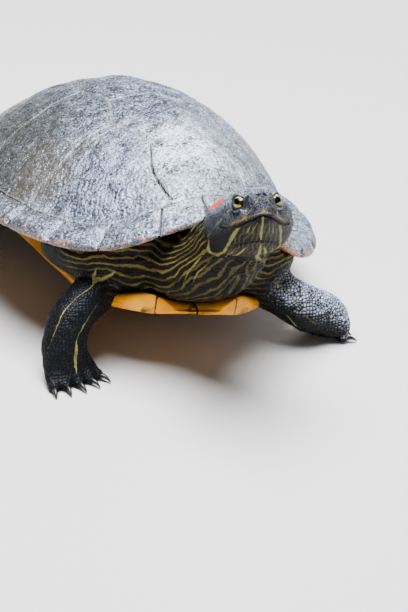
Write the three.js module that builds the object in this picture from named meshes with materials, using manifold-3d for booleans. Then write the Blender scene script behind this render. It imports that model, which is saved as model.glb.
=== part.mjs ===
// Red-eared slider turtle, an adult female at life size, resting with its fore-body raised.
// Millimetres, +Z up. The animal faces -Y and its left side is +X. The floor is Z = 0.
import * as THREE from 'three';
import { mergeVertices } from 'three/addons/utils/BufferGeometryUtils.js';
import Module from 'manifold-3d';

const wasm = await Module();
wasm.setup();

// ---- driving dimensions -------------------------------------------------------------------
const SHELL_LENGTH = 240;
const SHELL_WIDTH = 186;
const SHELL_HEIGHT = 89;
const SHELL_TILT = THREE.MathUtils.degToRad(8); // the front of the shell is raised
const SHELL_LEAN = THREE.MathUtils.degToRad(7); // and its left side is lowered
const PIVOT_Y = 90; // both turns are about the rear of the plastron
const SHELL_LIFT = 1.4; // sets the plastron's rear left edge on the floor
const GAP = 0.3; // clearance between touching pieces

const OUTLINE_POWER = 2.25; // superellipse of the shell seen from above
const OUTLINE_FLARE = 0.057; // the shell is a little wider behind the middle
const RIM_SIDE = 31; // height of the shell rim above the plastron, at the sides
const RIM_NUCHAL = 57; // ... over the neck
const RIM_TAIL = 25; // ... over the tail
const NUCHAL_ARCH = 0.46; // half-angle of the arch over the neck, radians
const TAIL_ARCH = 0.7;
const RIM_THICKNESS = 4;
const RING_START = 0.82; // the marginal ring begins at this fraction of the radius
const RING_RISE = 8.8;
const DOME_POWER = 2.19;
const DOME_ROUNDING = 0.85;

const HEAD_CENTRE = new THREE.Vector3(2.6, -145.7, 105.3);
const HEAD_YAW = THREE.MathUtils.degToRad(16.1); // towards the animal's right
const HEAD_PITCH = THREE.MathUtils.degToRad(37.7); // snout raised
const HEAD_ROLL = THREE.MathUtils.degToRad(6); // left side raised
const EYE_RADIUS = 4.3;
const EYE_PLACE = [7, 14, 3.2]; // lateral, forward, up in the head

// toes: how far they fan, how far they reach beyond the foot, and their claws
const FORE_TOES = { spread: 0.45, reach: 6.5, clawLength: 6, clawCount: 5 };
const BENT_TOES = { ...FORE_TOES, reach: 4.6 };
const HIND_TOES = { spread: 0.4, reach: 9, clawLength: 6, clawCount: 4 };
const TOE_SHARES = [-1, -0.5, 0, 0.5, 1]; // places of the five toes across a foot
const CLAW_RADIUS = 1.5;

// ---- solids and booleans ------------------------------------------------------------------
const solidOf = (geometry) => {
  const bare = geometry.clone();
  bare.deleteAttribute('normal');
  bare.deleteAttribute('uv');
  const merged = mergeVertices(bare, 1e-4);
  return new wasm.Manifold(new wasm.Mesh({
    numProp: 3,
    vertProperties: new Float32Array(merged.attributes.position.array),
    triVerts: new Uint32Array(merged.index.array),
  }));
};

const geometryOf = (solid) => {
  const mesh = solid.getMesh();
  const geometry = new THREE.BufferGeometry();
  geometry.setAttribute('position', new THREE.BufferAttribute(new Float32Array(mesh.vertProperties), 3));
  geometry.setIndex(new THREE.BufferAttribute(new Uint32Array(mesh.triVerts), 1));
  geometry.computeVertexNormals();
  return geometry;
};

// A closed solid through a row of rings with equal point counts; each end closes on its centre.
const ringLoft = (rings) => {
  const count = rings[0].length;
  const positions = rings.flat().flatMap((p) => [p.x, p.y, p.z]);
  const faces = [];
  for (let r = 0; r + 1 < rings.length; r += 1) {
    for (let k = 0; k < count; k += 1) {
      const a = r * count + k;
      const b = r * count + (k + 1) % count;
      faces.push(a, b, a + count, b, b + count, a + count);
    }
  }
  for (const [ring, flip] of [[0, true], [rings.length - 1, false]]) {
    const centre = new THREE.Vector3();
    rings[ring].forEach((p) => centre.addScaledVector(p, 1 / count));
    const tip = positions.length / 3;
    positions.push(centre.x, centre.y, centre.z);
    for (let k = 0; k < count; k += 1) {
      const a = ring * count + k;
      const b = ring * count + (k + 1) % count;
      faces.push(...(flip ? [b, a, tip] : [a, b, tip]));
    }
  }
  const geometry = new THREE.BufferGeometry();
  geometry.setAttribute('position', new THREE.Float32BufferAttribute(positions, 3));
  geometry.setIndex(faces);
  const solid = solidOf(geometry);
  if (solid.volume() > 0) return solid;
  geometry.setIndex(faces.flatMap((_, i) => (i % 3 ? [] : [faces[i], faces[i + 2], faces[i + 1]])));
  return solidOf(geometry);
};

// Cutting can leave loose slivers beside the body: only the body is kept.
const bodyOf = (solid) => solid.decompose()
  .reduce((best, piece) => (piece.volume() > best.volume() ? piece : best));

const signedPower = (value, power) => Math.sign(value) * Math.abs(value) ** power;
const bell = (value, width) => Math.exp(-((value / width) ** 2));
const smooth = (low, high, value) => THREE.MathUtils.smoothstep(value, low, high);

// Smooth interpolation of rows of numbers, one row for each station.
const along = (rows, position) => {
  const last = rows.length - 1;
  const scaled = Math.min(Math.max(position, 0), 1) * last;
  const i = Math.min(Math.floor(scaled), last - 1);
  const t = scaled - i;
  return rows[0].map((_, column) => {
    const at = (k) => rows[k][column];
    const p1 = at(i);
    const p2 = at(i + 1);
    const p0 = i > 0 ? at(i - 1) : 2 * p1 - p2;
    const p3 = i < last - 1 ? at(i + 2) : 2 * p2 - p1;
    const cubic = 3 * p1 - p0 - 3 * p2 + p3;
    return p1 + 0.5 * t * (p2 - p0 + t * (2 * p0 - 5 * p1 + 4 * p2 - p3 + t * cubic));
  });
};

// A limb: stations are [x, y, z, side half-size, other half-size]; `side` is the direction
// that the first half-size points along.
const limb = (stations, side, steps, sides, grow = 0) => {
  const rings = [];
  for (let s = 0; s <= steps; s += 1) {
    const t = s / steps;
    const [x, y, z, a, b] = along(stations, t);
    const before = new THREE.Vector3(...along(stations, t - 0.01));
    const tangent = new THREE.Vector3(...along(stations, t + 0.01)).sub(before).normalize();
    const across = side.clone().addScaledVector(tangent, -side.dot(tangent)).normalize();
    const other = new THREE.Vector3().crossVectors(tangent, across);
    const end = s === 0 ? -grow : s === steps ? grow : 0;
    const centre = new THREE.Vector3(x, y, z).addScaledVector(tangent, end);
    const ring = [];
    for (let k = 0; k < sides; k += 1) {
      const angle = 2 * Math.PI * k / sides;
      ring.push(centre.clone()
        .addScaledVector(across, (a + grow) * Math.cos(angle))
        .addScaledVector(other, (b + grow) * Math.sin(angle)));
    }
    rings.push(ring);
  }
  return ringLoft(rings);
};

const boxSolid = (low, high) => {
  const size = high.map((v, i) => v - low[i]);
  const box = new THREE.BoxGeometry(...size);
  box.translate(...high.map((v, i) => (v + low[i]) / 2));
  return solidOf(box);
};
const belowFloor = boxSolid([-200, -250, -60], [200, 200, 0]);

// ---- shell --------------------------------------------------------------------------------
// Points of the shell are given in its own level frame, then turned and set on the floor.
const placed = (x, y, z) => new THREE.Vector3(x, y - PIVOT_Y, z)
  .applyAxisAngle(new THREE.Vector3(0, 1, 0), SHELL_LEAN)
  .applyAxisAngle(new THREE.Vector3(1, 0, 0), -SHELL_TILT)
  .add(new THREE.Vector3(0, PIVOT_Y, SHELL_LIFT));

// angle 0 is over the neck, PI over the tail, positive to the animal's left
const rimPoint = (angle) => {
  const y = -SHELL_LENGTH / 2 * signedPower(Math.cos(angle), 2 / OUTLINE_POWER);
  const x = SHELL_WIDTH / 2 * signedPower(Math.sin(angle), 2 / OUTLINE_POWER);
  return [x * (1 + OUTLINE_FLARE * 2 * y / SHELL_LENGTH), y];
};

const rimHeight = (angle) => {
  const fromNeck = Math.abs(Math.atan2(Math.sin(angle), Math.cos(angle)));
  return RIM_SIDE + (RIM_NUCHAL - RIM_SIDE) * bell(fromNeck, NUCHAL_ARCH)
    + (RIM_TAIL - RIM_SIDE) * bell(Math.PI - fromNeck, TAIL_ARCH);
};

const domeHeight = (radius, angle) => {
  const rim = rimHeight(angle);
  if (radius > RING_START) return rim + RING_RISE * (1 - radius) / (1 - RING_START);
  const foot = rim + RING_RISE;
  const crown = (1 - (radius / RING_START) ** DOME_POWER) ** DOME_ROUNDING;
  return foot + (SHELL_HEIGHT - foot) * crown;
};

const carapaceSolid = (grow = 0) => {
  const around = 34;
  const spread = 1 + grow / (SHELL_WIDTH / 2);
  const point = (radius, angle, height) => {
    const [x, y] = rimPoint(angle);
    return placed(x * radius * spread, y * radius * spread, height);
  };
  const ring = (radius, heightAt) => Array.from({ length: around }, (_, k) => {
    const angle = 2 * Math.PI * (k + 0.5) / around;
    return point(radius, angle, heightAt(angle));
  });
  const rings = [];
  for (const radius of [0.06, 0.18, 0.32, 0.46, 0.6, 0.72, RING_START, 0.91, 0.98]) {
    rings.push(ring(radius, (angle) => domeHeight(radius, angle) + grow));
  }
  rings.push(ring(1, (angle) => rimHeight(angle) - RIM_THICKNESS / 2));
  rings.push(ring(0.985, (angle) => rimHeight(angle) - RIM_THICKNESS - grow));
  rings.push(ring(0.86, (angle) => rimHeight(angle) - RIM_THICKNESS - grow));
  rings.push(ring(0.8, (angle) => rimHeight(angle) - 1 - grow));
  rings.push(ring(0.4, () => RIM_SIDE - grow));
  return ringLoft(rings);
};

// Plastron: half-width of the plate along its length, with the bridges at its middle.
const PLASTRON_FRONT = -106;
const PLASTRON_REAR = 101;
const PLASTRON_THICKNESS = 7;
const FRONT_LOBE = 49;
const REAR_LOBE = 51;
const BRIDGE_FROM = -44;
const BRIDGE_TO = 44;
const BRIDGE_HALF = 77;
const BRIDGE_TOP = 24;

const plastronHalf = (y) => {
  const front = FRONT_LOBE * Math.sqrt(Math.max(0, 1 - (Math.max(0, -y - 62) / 45) ** 2.6));
  const rear = REAR_LOBE * Math.sqrt(Math.max(0, 1 - (Math.max(0, y - 58) / 45) ** 2.8));
  return front + (rear - front) * smooth(-20, 20, y);
};

const plastronSolid = (grow = 0) => {
  const rows = [-106, -103, -98, -90, -80, -68, -56, -47, -42, -20, 0, 20, 42, 47, 58, 72, 84, 94, 101];
  const columns = [-1, -0.94, -0.8, -0.6, -0.4, -0.15, 0.15, 0.4, 0.6, 0.8, 0.94, 1];
  const rings = rows.map((row) => {
    const inBridge = smooth(BRIDGE_FROM - 4, BRIDGE_FROM + 4, row)
      * (1 - smooth(BRIDGE_TO - 4, BRIDGE_TO + 4, row));
    const plate = plastronHalf(row) + grow;
    const half = plate + (BRIDGE_HALF + grow - plate) * inBridge;
    const lip = smooth(-78, PLASTRON_FRONT, row);
    const y = row + grow * (row < -50 ? -1 : row > 50 ? 1 : 0);
    const lower = [];
    const upper = [];
    for (const column of columns) {
      const x = half * column;
      const rise = inBridge * BRIDGE_TOP * smooth(0.56, 1, Math.abs(column));
      const edge = 1.6 * smooth(0.86, 1, Math.abs(column)) * (1 - inBridge);
      const horn = lip * 5 * bell(Math.abs(x) - 24, 11);
      lower.push(placed(x, y, rise + edge + lip * 2 - grow));
      upper.push(placed(x, y, rise + PLASTRON_THICKNESS - edge + horn + grow + inBridge * 3));
    }
    return [...lower, ...upper.reverse()];
  });
  return ringLoft(rings);
};

const analNotch = () => {
  const outline = new THREE.Shape();
  outline.moveTo(-13, 12);
  outline.lineTo(0, -11);
  outline.lineTo(13, 12);
  const wedge = new THREE.ExtrudeGeometry(outline, { depth: 40, bevelEnabled: false });
  wedge.translate(0, PLASTRON_REAR, -20);
  return solidOf(wedge);
};

const carapace = carapaceSolid();
const shellClear = carapaceSolid(GAP).add(plastronSolid(GAP));
const plastron = plastronSolid().subtract(carapaceSolid(GAP)).subtract(analNotch()).subtract(belowFloor);

// ---- trunk --------------------------------------------------------------------------------
// rows: y, half-width, low, high, in the level frame of the shell
const TRUNK_ROWS = [
  [-101, 28, 16, 50], [-96, 45, 10, 54], [-86, 57, 5, 51], [-70, 64, 3, 44], [-54, 65, 4, 38], [-42, 56, 6, 37],
  [-20, 53, 6, 36], [0, 53, 6, 35], [20, 53, 6, 35], [42, 56, 6, 34], [54, 62, 4, 33], [70, 59, 3, 31],
  [86, 49, 4, 29], [98, 30, 8, 26],
];
const trunkSolid = (grow = 0) => {
  const steps = 13;
  const sides = 14;
  const rings = [];
  for (let s = 0; s <= steps; s += 1) {
    const [y, half, low, high] = along(TRUNK_ROWS, s / steps);
    const end = s === 0 ? -grow : s === steps ? grow : 0;
    rings.push(Array.from({ length: sides }, (_, k) => {
      const angle = 2 * Math.PI * k / sides;
      return placed(
        (half + grow) * signedPower(Math.cos(angle), 0.8),
        y + end,
        (low + high) / 2 + ((high - low) / 2 + grow) * signedPower(Math.sin(angle), 0.8),
      );
    }));
  }
  return ringLoft(rings);
};
const trunk = trunkSolid().subtract(shellClear).subtract(belowFloor);
const trunkClear = trunkSolid(GAP);

// ---- head and neck ------------------------------------------------------------------------
const headForward = new THREE.Vector3(
  -Math.sin(HEAD_YAW) * Math.cos(HEAD_PITCH),
  -Math.cos(HEAD_YAW) * Math.cos(HEAD_PITCH),
  Math.sin(HEAD_PITCH),
);
const headLevel = new THREE.Vector3(Math.cos(HEAD_YAW), -Math.sin(HEAD_YAW), 0);
const headRise = new THREE.Vector3().crossVectors(headLevel, headForward).negate();
const headLeft = headLevel.clone().multiplyScalar(Math.cos(HEAD_ROLL))
  .addScaledVector(headRise, Math.sin(HEAD_ROLL));
const headUp = headRise.clone().multiplyScalar(Math.cos(HEAD_ROLL))
  .addScaledVector(headLevel, -Math.sin(HEAD_ROLL));
const inHead = (left, forward, up) => HEAD_CENTRE.clone()
  .addScaledVector(headLeft, left)
  .addScaledVector(headForward, forward)
  .addScaledVector(headUp, up);

// rows: forward, half-width, top, bottom
const HEAD_ROWS = [
  [-27, 13, 7, -11], [-22, 17, 10, -14], [-16, 19.6, 11.4, -15.5], [-9, 20.2, 11.8, -15.6],
  [-2, 18.6, 11.8, -14.6], [4, 16.2, 11.6, -13.4], [10, 13.6, 11.2, -12.2], [16, 11, 10.4, -10.8],
  [21, 8.4, 9, -9.4], [24.6, 6.2, 7.6, -8.2], [26.8, 3.8, 5.8, -5.6],
];
const headSolid = (grow = 0) => {
  const steps = 14;
  const sides = 16;
  const rings = [];
  for (let s = 0; s <= steps; s += 1) {
    const [forward, half, top, bottom] = along(HEAD_ROWS, s / steps);
    const end = s === 0 ? -grow : s === steps ? grow : 0;
    rings.push(Array.from({ length: sides }, (_, k) => {
      const angle = 2 * Math.PI * k / sides;
      const up = Math.sin(angle);
      const height = up > 0 ? top + grow : -(bottom - grow);
      return inHead((half + grow) * signedPower(Math.cos(angle), 0.8), forward + end,
        height * signedPower(up, 0.84));
    }));
  }
  return ringLoft(rings);
};

const eyeCentre = (side) => inHead(side * EYE_PLACE[0], EYE_PLACE[1], EYE_PLACE[2]);
const ball = (centre, radius) => {
  const sphere = new THREE.SphereGeometry(radius, 10, 7);
  sphere.translate(centre.x, centre.y, centre.z);
  return solidOf(sphere);
};

// rows: x, y, z, half-width, half-height
const NECK_ROWS = [
  [3, -76, 53.5, 34, 21], [4, -92, 56.5, 31, 21], [5, -105, 62.5, 26, 18.5], [6.5, -115, 73.5, 21, 16.5],
  [7, -124, 84.5, 18.5, 15.2], [7.5, -131, 92.5, 17, 13.8],
];
const NECK_STEPS = 9;
const NECK_SIDES = 16;
const sideways = new THREE.Vector3(1, 0, 0);
const head = headSolid()
  .subtract(ball(eyeCentre(1), EYE_RADIUS + GAP))
  .subtract(ball(eyeCentre(-1), EYE_RADIUS + GAP));
const neckClear = limb(NECK_ROWS, sideways, NECK_STEPS, NECK_SIDES, GAP);
const neck = limb(NECK_ROWS, sideways, NECK_STEPS, NECK_SIDES)
  .subtract(headSolid(GAP)).subtract(trunkClear).subtract(shellClear);

// ---- limbs --------------------------------------------------------------------------------
// Each limb is given for its own side: rows of x, y, z and the two half-sizes.
const FORELEG_RIGHT = [
  [-27, -64, 41, 14, 14], [-38, -76, 38.5, 11.5, 12], [-50, -84, 34.5, 10.5, 10.5], [-59.5, -89.5, 27, 10.5, 10],
  [-63, -94, 17, 11.5, 9], [-62.5, -96, 10.5, 13, 7.4],
];
const FORELEG_LEFT = [
  [28, -66, 36, 14, 13], [41, -78, 33.5, 12, 12], [53, -85, 28.5, 11, 11], [63, -88, 22.5, 10.6, 11.2],
  [70.5, -87.5, 18, 10.6, 11.8], [76, -85.5, 15.2, 10.6, 11.6],
];
const FOREFOOT_RIGHT = [
  [-62.5, -95.5, 11.2, 12.8, 7.4], [-61.5, -98, 6.8, 14, 6.4], [-60.4, -101, 4.2, 15, 4.8],
  [-59.4, -104.5, 2.6, 14.4, 3.4],
];
const FOREFOOT_LEFT = [
  [75.4, -85.7, 15.4, 10.5, 11.7], [80, -84.7, 12.6, 11.2, 11.6], [84.5, -83.8, 9, 11.8, 9.6], [88, -83, 5, 11.4, 6],
];
const HINDLEG_RIGHT = [
  [-36, 50, 32, 16, 15], [-56, 48, 27, 15, 14], [-74, 50, 20, 13.5, 12.5], [-84, 60, 14, 12, 10.5],
  [-86, 74, 10, 11.5, 8.5],
];
const HINDLEG_LEFT = [
  [36, 50, 22, 16, 15], [56, 48, 18, 15, 14], [74, 50, 14.5, 13.5, 12], [84, 60, 12, 12, 10],
  [86, 74, 10, 11.5, 8.5],
];
const HINDFOOT_RIGHT = [
  [-86, 73, 10, 11.5, 8.5], [-87.5, 82, 6.5, 13.5, 6.2], [-90, 93, 4, 16, 4.4], [-93, 104, 2.6, 17, 3],
];
const mirrored = (rows) => rows.map(([x, ...rest]) => [-x, ...rest]);
const TAIL_ROWS = [
  [0, 84, 13, 10, 9], [0, 98, 11, 8.5, 8], [2, 112, 8, 6, 5.6], [7, 125, 5, 3.8, 3.8], [14, 135, 3, 2, 2.2],
];
const LEG_STEPS = 8;
const LEG_SIDES = 12;

const limbPart = (rows, side, steps, sides, ...clears) => {
  let solid = limb(rows, side, steps, sides).subtract(belowFloor);
  clears.forEach((clear) => { solid = solid.subtract(clear); });
  return solid;
};

// Toes fan out from the end of a foot. Each is a short limb that carries one claw.
const toeRows = (foot, side, share, spread, reach) => {
  const root = foot[foot.length - 2];
  const end = foot[foot.length - 1];
  const out = new THREE.Vector3(end[0] - root[0], end[1] - root[1], 0).normalize();
  const across = side.clone().addScaledVector(out, -side.dot(out)).setZ(0).normalize();
  const start = new THREE.Vector3(end[0], end[1], 3).addScaledVector(across, share * end[3] * 0.78)
    .addScaledVector(out, -4);
  const direction = out.clone().addScaledVector(across, share * spread).normalize();
  const at = (distance, height, half) => {
    const p = start.clone().addScaledVector(direction, distance);
    return [p.x, p.y, height, half, half * 0.9];
  };
  return {
    toe: [at(0, 3.2, 3), at(reach * 0.5, 3, 2.9), at(reach, 2.4, 2.2)],
    claw: (length) => {
      const base = at(reach - 1.4, 2.6, CLAW_RADIUS);
      const middle = at(reach + length * 0.5, 2.5, CLAW_RADIUS * 0.72);
      const tip = at(reach + length, 1.1, 0.5);
      return [base, middle, tip];
    },
  };
};

// The middle toe reaches furthest.
const footParts = (rows, side, { spread, reach, clawLength, clawCount }, legClear) => {
  const toes = TOE_SHARES.map((share) => toeRows(rows, side, share, spread, reach * (1.08 - 0.22 * share * share)));
  const build = (grow) => toes.reduce(
    (foot, { toe }) => foot.add(limb(toe, side, 2, 6, grow)),
    limb(rows, side, 5, 10, grow),
  );
  const foot = build(0).subtract(legClear).subtract(belowFloor);
  const clear = build(GAP);
  const claws = toes.slice(0, clawCount).map(({ claw }) => limb(claw(clawLength), side, 2, 5)
    .subtract(clear).subtract(belowFloor));
  return { foot, claws };
};

const foreSideRight = new THREE.Vector3(0.96, 0.26, 0);
const foreSideLeft = new THREE.Vector3(0.2, -0.98, 0);
const hindSideRight = new THREE.Vector3(1, 0.2, 0);
const hindSideLeft = new THREE.Vector3(1, -0.2, 0);

// ---- nodes --------------------------------------------------------------------------------
const SHELL_HORN = { color: 0x6d747c, roughness: 0.42, metalness: 0 };
const PLASTRON_HORN = { color: 0xc98420, roughness: 0.35, metalness: 0 };
const SKIN = { color: 0x2c2f33, roughness: 0.55, metalness: 0 };
const EYE = { color: 0x9aa43a, roughness: 0.1, metalness: 0 };
const CLAW = { color: 0x4a443b, roughness: 0.4, metalness: 0 };

const group = new THREE.Group();
const addNode = (name, solid, finish) => {
  const mesh = new THREE.Mesh(geometryOf(bodyOf(solid)), new THREE.MeshStandardMaterial(finish));
  mesh.name = name;
  group.add(mesh);
};

addNode('carapace', carapace, SHELL_HORN);
addNode('plastron', plastron, PLASTRON_HORN);
addNode('trunk', trunk, SKIN);
addNode('neck', neck, SKIN);
addNode('head', head, SKIN);
addNode('eye_right', ball(eyeCentre(-1), EYE_RADIUS), EYE);
addNode('eye_left', ball(eyeCentre(1), EYE_RADIUS), EYE);
addNode('tail', limbPart(TAIL_ROWS, sideways, 8, 10, trunkClear, shellClear), SKIN);

const legs = [
  ['foreleg_right', 'forefoot_right', FORELEG_RIGHT, FOREFOOT_RIGHT, foreSideRight, FORE_TOES],
  ['foreleg_left', 'forefoot_left', FORELEG_LEFT, FOREFOOT_LEFT, foreSideLeft, BENT_TOES],
  ['hindleg_right', 'hindfoot_right', HINDLEG_RIGHT, HINDFOOT_RIGHT, hindSideRight, HIND_TOES],
  ['hindleg_left', 'hindfoot_left', HINDLEG_LEFT, mirrored(HINDFOOT_RIGHT), hindSideLeft, HIND_TOES],
];
for (const [legName, footName, legRows, footRows, side, toes] of legs) {
  addNode(legName, limbPart(legRows, side, LEG_STEPS, LEG_SIDES, trunkClear, shellClear, neckClear), SKIN);
  const legClear = limb(legRows, side, LEG_STEPS, LEG_SIDES, GAP).add(shellClear);
  const parts = footParts(footRows, side, toes, legClear);
  addNode(footName, parts.foot, SKIN);
  parts.claws.forEach((claw, i) => addNode(`${footName}_claw_${i + 1}`, claw, CLAW));
}

// The origin is on the floor, under the middle of the whole animal.
const bounds = new THREE.Box3().setFromObject(group);
group.position.set(-(bounds.min.x + bounds.max.x) / 2, -(bounds.min.y + bounds.max.y) / 2, 0);

export default group;
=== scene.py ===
import bmesh
import bpy
import numpy as np
from mathutils import Matrix, Vector
from mathutils.kdtree import KDTree


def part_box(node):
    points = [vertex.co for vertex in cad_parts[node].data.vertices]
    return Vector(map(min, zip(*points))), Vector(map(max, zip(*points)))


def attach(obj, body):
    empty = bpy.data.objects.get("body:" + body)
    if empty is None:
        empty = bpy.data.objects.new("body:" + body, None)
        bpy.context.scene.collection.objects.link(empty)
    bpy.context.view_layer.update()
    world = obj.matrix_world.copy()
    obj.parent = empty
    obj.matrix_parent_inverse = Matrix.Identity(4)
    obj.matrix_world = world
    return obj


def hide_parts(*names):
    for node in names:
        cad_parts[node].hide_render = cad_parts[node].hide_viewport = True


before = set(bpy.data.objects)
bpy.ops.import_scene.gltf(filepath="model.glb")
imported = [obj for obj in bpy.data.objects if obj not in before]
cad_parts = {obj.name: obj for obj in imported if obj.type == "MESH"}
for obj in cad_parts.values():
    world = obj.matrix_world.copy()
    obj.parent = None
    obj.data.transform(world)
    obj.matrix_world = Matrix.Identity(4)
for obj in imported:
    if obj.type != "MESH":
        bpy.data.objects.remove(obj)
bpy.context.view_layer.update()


# ---- carapace -------------------------------------------------------------------------------
# The upper shell: a dome of bone under thin horn scutes, with a flared ring of marginals.
# The horn is keratin, dark grey-blue when old, worn, and cut by grooves where scutes meet.
shell_length, shell_width, shell_height = 240.0, 186.0, 89.0      # all sizes are in millimetres
shell_lift = 1.4
shell_pivot = np.array([0.0, 90.0, 0.0])
outline_power, outline_flare = 2.25, 0.057
rim_side, rim_nuchal, rim_tail, rim_thickness = 31.0, 57.0, 25.0, 4.0
nuchal_arch, tail_arch = 0.46, 0.7
ring_start, ring_rise = 0.82, 8.8
dome_power, dome_rounding = 2.19, 0.85
carapace_cells = 400                                              # quads across the dome


def turn(axis, degrees):
    return np.array(Matrix.Rotation(np.radians(degrees), 3, axis))


shell_turn = turn("X", -8.0) @ turn("Y", 7.0)


def place_shell(points):
    return (points - shell_pivot) @ shell_turn.T + shell_pivot + [0, 0, shell_lift]


def unplace_shell(points):
    return (points - [0, 0, shell_lift] - shell_pivot) @ shell_turn + shell_pivot


def smooth(low, high, value):
    t = np.clip((value - low) / (high - low), 0, 1)
    return t * t * (3 - 2 * t)


def bell(value, width):
    return np.exp(-(value / width) ** 2)


def signed_power(value, power):
    return np.sign(value) * np.abs(value) ** power


def rim_plan(angle, radius=1.0):
    y = -shell_length / 2 * signed_power(np.cos(angle), 2 / outline_power) * radius
    x = shell_width / 2 * signed_power(np.sin(angle), 2 / outline_power) * radius
    return x * (1 + outline_flare * 2 * y / shell_length), y


def shell_polar(x, y):
    across = x / (1 + outline_flare * 2 * y / shell_length) / (shell_width / 2)
    ahead = -y / (shell_length / 2)
    radius = (np.abs(across) ** outline_power + np.abs(ahead) ** outline_power) ** (1 / outline_power)
    angle = np.arctan2(signed_power(across, outline_power / 2), signed_power(ahead, outline_power / 2))
    return radius, angle


def rim_height(angle):
    from_neck = np.abs(angle)
    return (rim_side + (rim_nuchal - rim_side) * bell(from_neck, nuchal_arch)
            + (rim_tail - rim_side) * bell(np.pi - from_neck, tail_arch))


profile_radius = np.linspace(0, 1, 401)
profile_ring = np.clip((1 - profile_radius) / (1 - ring_start), 0, 1)
profile_crown = np.clip(1 - (profile_radius / ring_start) ** dome_power, 0, 1) ** dome_rounding
soften = np.hanning(23) / np.hanning(23).sum()
profile_crown[40:-12] = np.convolve(profile_crown, soften, "same")[40:-12]


def dome_height(radius, angle):
    rim = rim_height(angle)
    ring = np.interp(radius, profile_radius, profile_ring)
    crown = np.interp(radius, profile_radius, profile_crown)
    return rim + ring_rise * ring + (shell_height - rim - ring_rise) * crown


def polyline_distance(points, line):
    best = np.full(len(points), np.inf)
    line = np.asarray(line, float)
    for start, end in zip(line[:-1], line[1:]):
        step = end - start
        share = np.clip((points - start) @ step / (step @ step), 0, 1)
        best = np.minimum(best, np.linalg.norm(points - start - share[:, None] * step, axis=1))
    return best


def along(rows, position):
    """Rows of numbers read along their length (0 to 1) on a smooth curve through them."""
    rows = np.asarray(rows, float)
    ends = np.vstack([2 * rows[0] - rows[1], rows, 2 * rows[-1] - rows[-2]])
    scaled = np.clip(np.atleast_1d(position), 0, 1) * (len(rows) - 1)
    i = np.minimum(scaled.astype(int), len(rows) - 2)
    t = (scaled - i)[:, None]
    p0, p1, p2, p3 = (ends[i + k] for k in range(4))
    return p1 + 0.5 * t * (p2 - p0 + t * (2 * p0 - 5 * p1 + 4 * p2 - p3 + t * (3 * p1 - p0 - 3 * p2 + p3)))


def curve_through(points):
    return along(points, np.linspace(0, 1, (len(points) - 1) * seam_bits + 1))


# Seams between scutes, in plan, on the animal's left; the right side mirrors them.
seam_ring, seam_bits = 0.865, 6
vertebral_side = [(19.6, -98.5), (22.8, -86), (22.6, -76), (20, -66), (19.5, -60), (23, -49), (29, -38),
    (26.5, -25), (24, -15), (27.5, -4), (31, 7), (27.5, 19), (24, 30), (27, 41), (30, 52), (25, 64),
    (19, 74), (24, 84), (31, 97), (35, 103)]
vertebral_ends = [(-60, 19.5), (-15, 24), (30, 24), (74, 19)]
vertebral_cross = [[(0, y + 1.5), (6, y), (edge, y)] for y, edge in vertebral_ends]
pleural_cross = [[(29, -38), (44, -39), (58, -44), (67, -44), (73, -52)], [(31, 7), (55, 6), (84, 9)],
    [(30, 52), (50, 57), (73, 70)]]
marginal_stations = [8, 31, 59, 87, 115, 143, 171, 199, 227, 255, 283, 311]   # along the rim, from the neck

rim_angles = np.linspace(0, np.pi, 1500)
rim_x, rim_y = rim_plan(rim_angles)
rim_run = np.concatenate([[0], np.cumsum(np.hypot(np.diff(rim_x), np.diff(rim_y)))])
marginal_cross = []
for station in marginal_stations + [rim_run[-1]]:
    angle = np.interp(station, rim_run, rim_angles)
    outer = np.array(rim_plan(angle, 1.01))
    near = np.array(rim_plan(angle + 1e-3)) - np.array(rim_plan(angle - 1e-3))
    inward = np.array([-near[1], near[0]]) / np.hypot(*near)
    reach = 20.0
    while shell_polar(*(outer + inward * reach))[0] < seam_ring:
        reach -= 0.25
    marginal_cross.append([outer, outer + inward * reach])
ring_line = np.stack(rim_plan(np.linspace(0, np.pi, 160), seam_ring), 1)
scute_seams = [curve_through(line) for line in [vertebral_side] + pleural_cross]
scute_seams += vertebral_cross + marginal_cross + [ring_line]


def to_row(points):
    """Millimetres in the part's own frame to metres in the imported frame."""
    return (points + row_shift) * 0.001


head_centre = np.array([2.6, -145.7, 105.3])
head_yaw, head_pitch, head_roll = np.radians([16.1, 37.7, 6.0])
eye_radius, eye_place = 4.3, np.array([7.0, 14.0, 3.2])            # left of the midline, forward, up
head_forward = np.array([-np.sin(head_yaw) * np.cos(head_pitch), -np.cos(head_yaw) * np.cos(head_pitch),
                         np.sin(head_pitch)])
head_level = np.array([np.cos(head_yaw), -np.sin(head_yaw), 0])
head_rise = -np.cross(head_level, head_forward)
head_axes = np.array([head_level * np.cos(head_roll) + head_rise * np.sin(head_roll), head_forward,
                      head_rise * np.cos(head_roll) - head_level * np.sin(head_roll)])
eye_box = np.array(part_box("eye_right"))
row_shift = eye_box.mean(0) * 1000 - (head_centre + (eye_place * [-1, 1, 1]) @ head_axes)
row_shift[2] = 0


def srgb(text):
    """An sRGB hex colour as a linear RGBA tuple."""
    parts = [int(text[i:i + 2], 16) / 255 for i in (1, 3, 5)]
    return tuple(p / 12.92 if p <= 0.04045 else ((p + 0.055) / 1.055) ** 2.4 for p in parts) + (1.0,)


def wire(node, inputs):
    """Fills inputs, by name or in a list in their own order: a node or a socket is linked, a hex colour is
    made linear and a number is kept."""
    for name, value in inputs.items() if isinstance(inputs, dict) else enumerate(inputs):
        if isinstance(value, bpy.types.Node):
            value = value.outputs[0]
        if isinstance(value, bpy.types.NodeSocket):
            node.id_data.links.new(value, node.inputs[name])
        else:
            node.inputs[name].default_value = srgb(value) if isinstance(value, str) else value


def add(tree, kind, inputs=None, **settings):
    made = tree.nodes.new("ShaderNode" + kind)
    for name, value in settings.items():
        setattr(made, name, value)
    wire(made, inputs or {})
    return made


def new_material(name):
    material = bpy.data.materials.new(name)
    material.use_nodes = True
    return material, material.node_tree, material.node_tree.nodes["Principled BSDF"]


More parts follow.
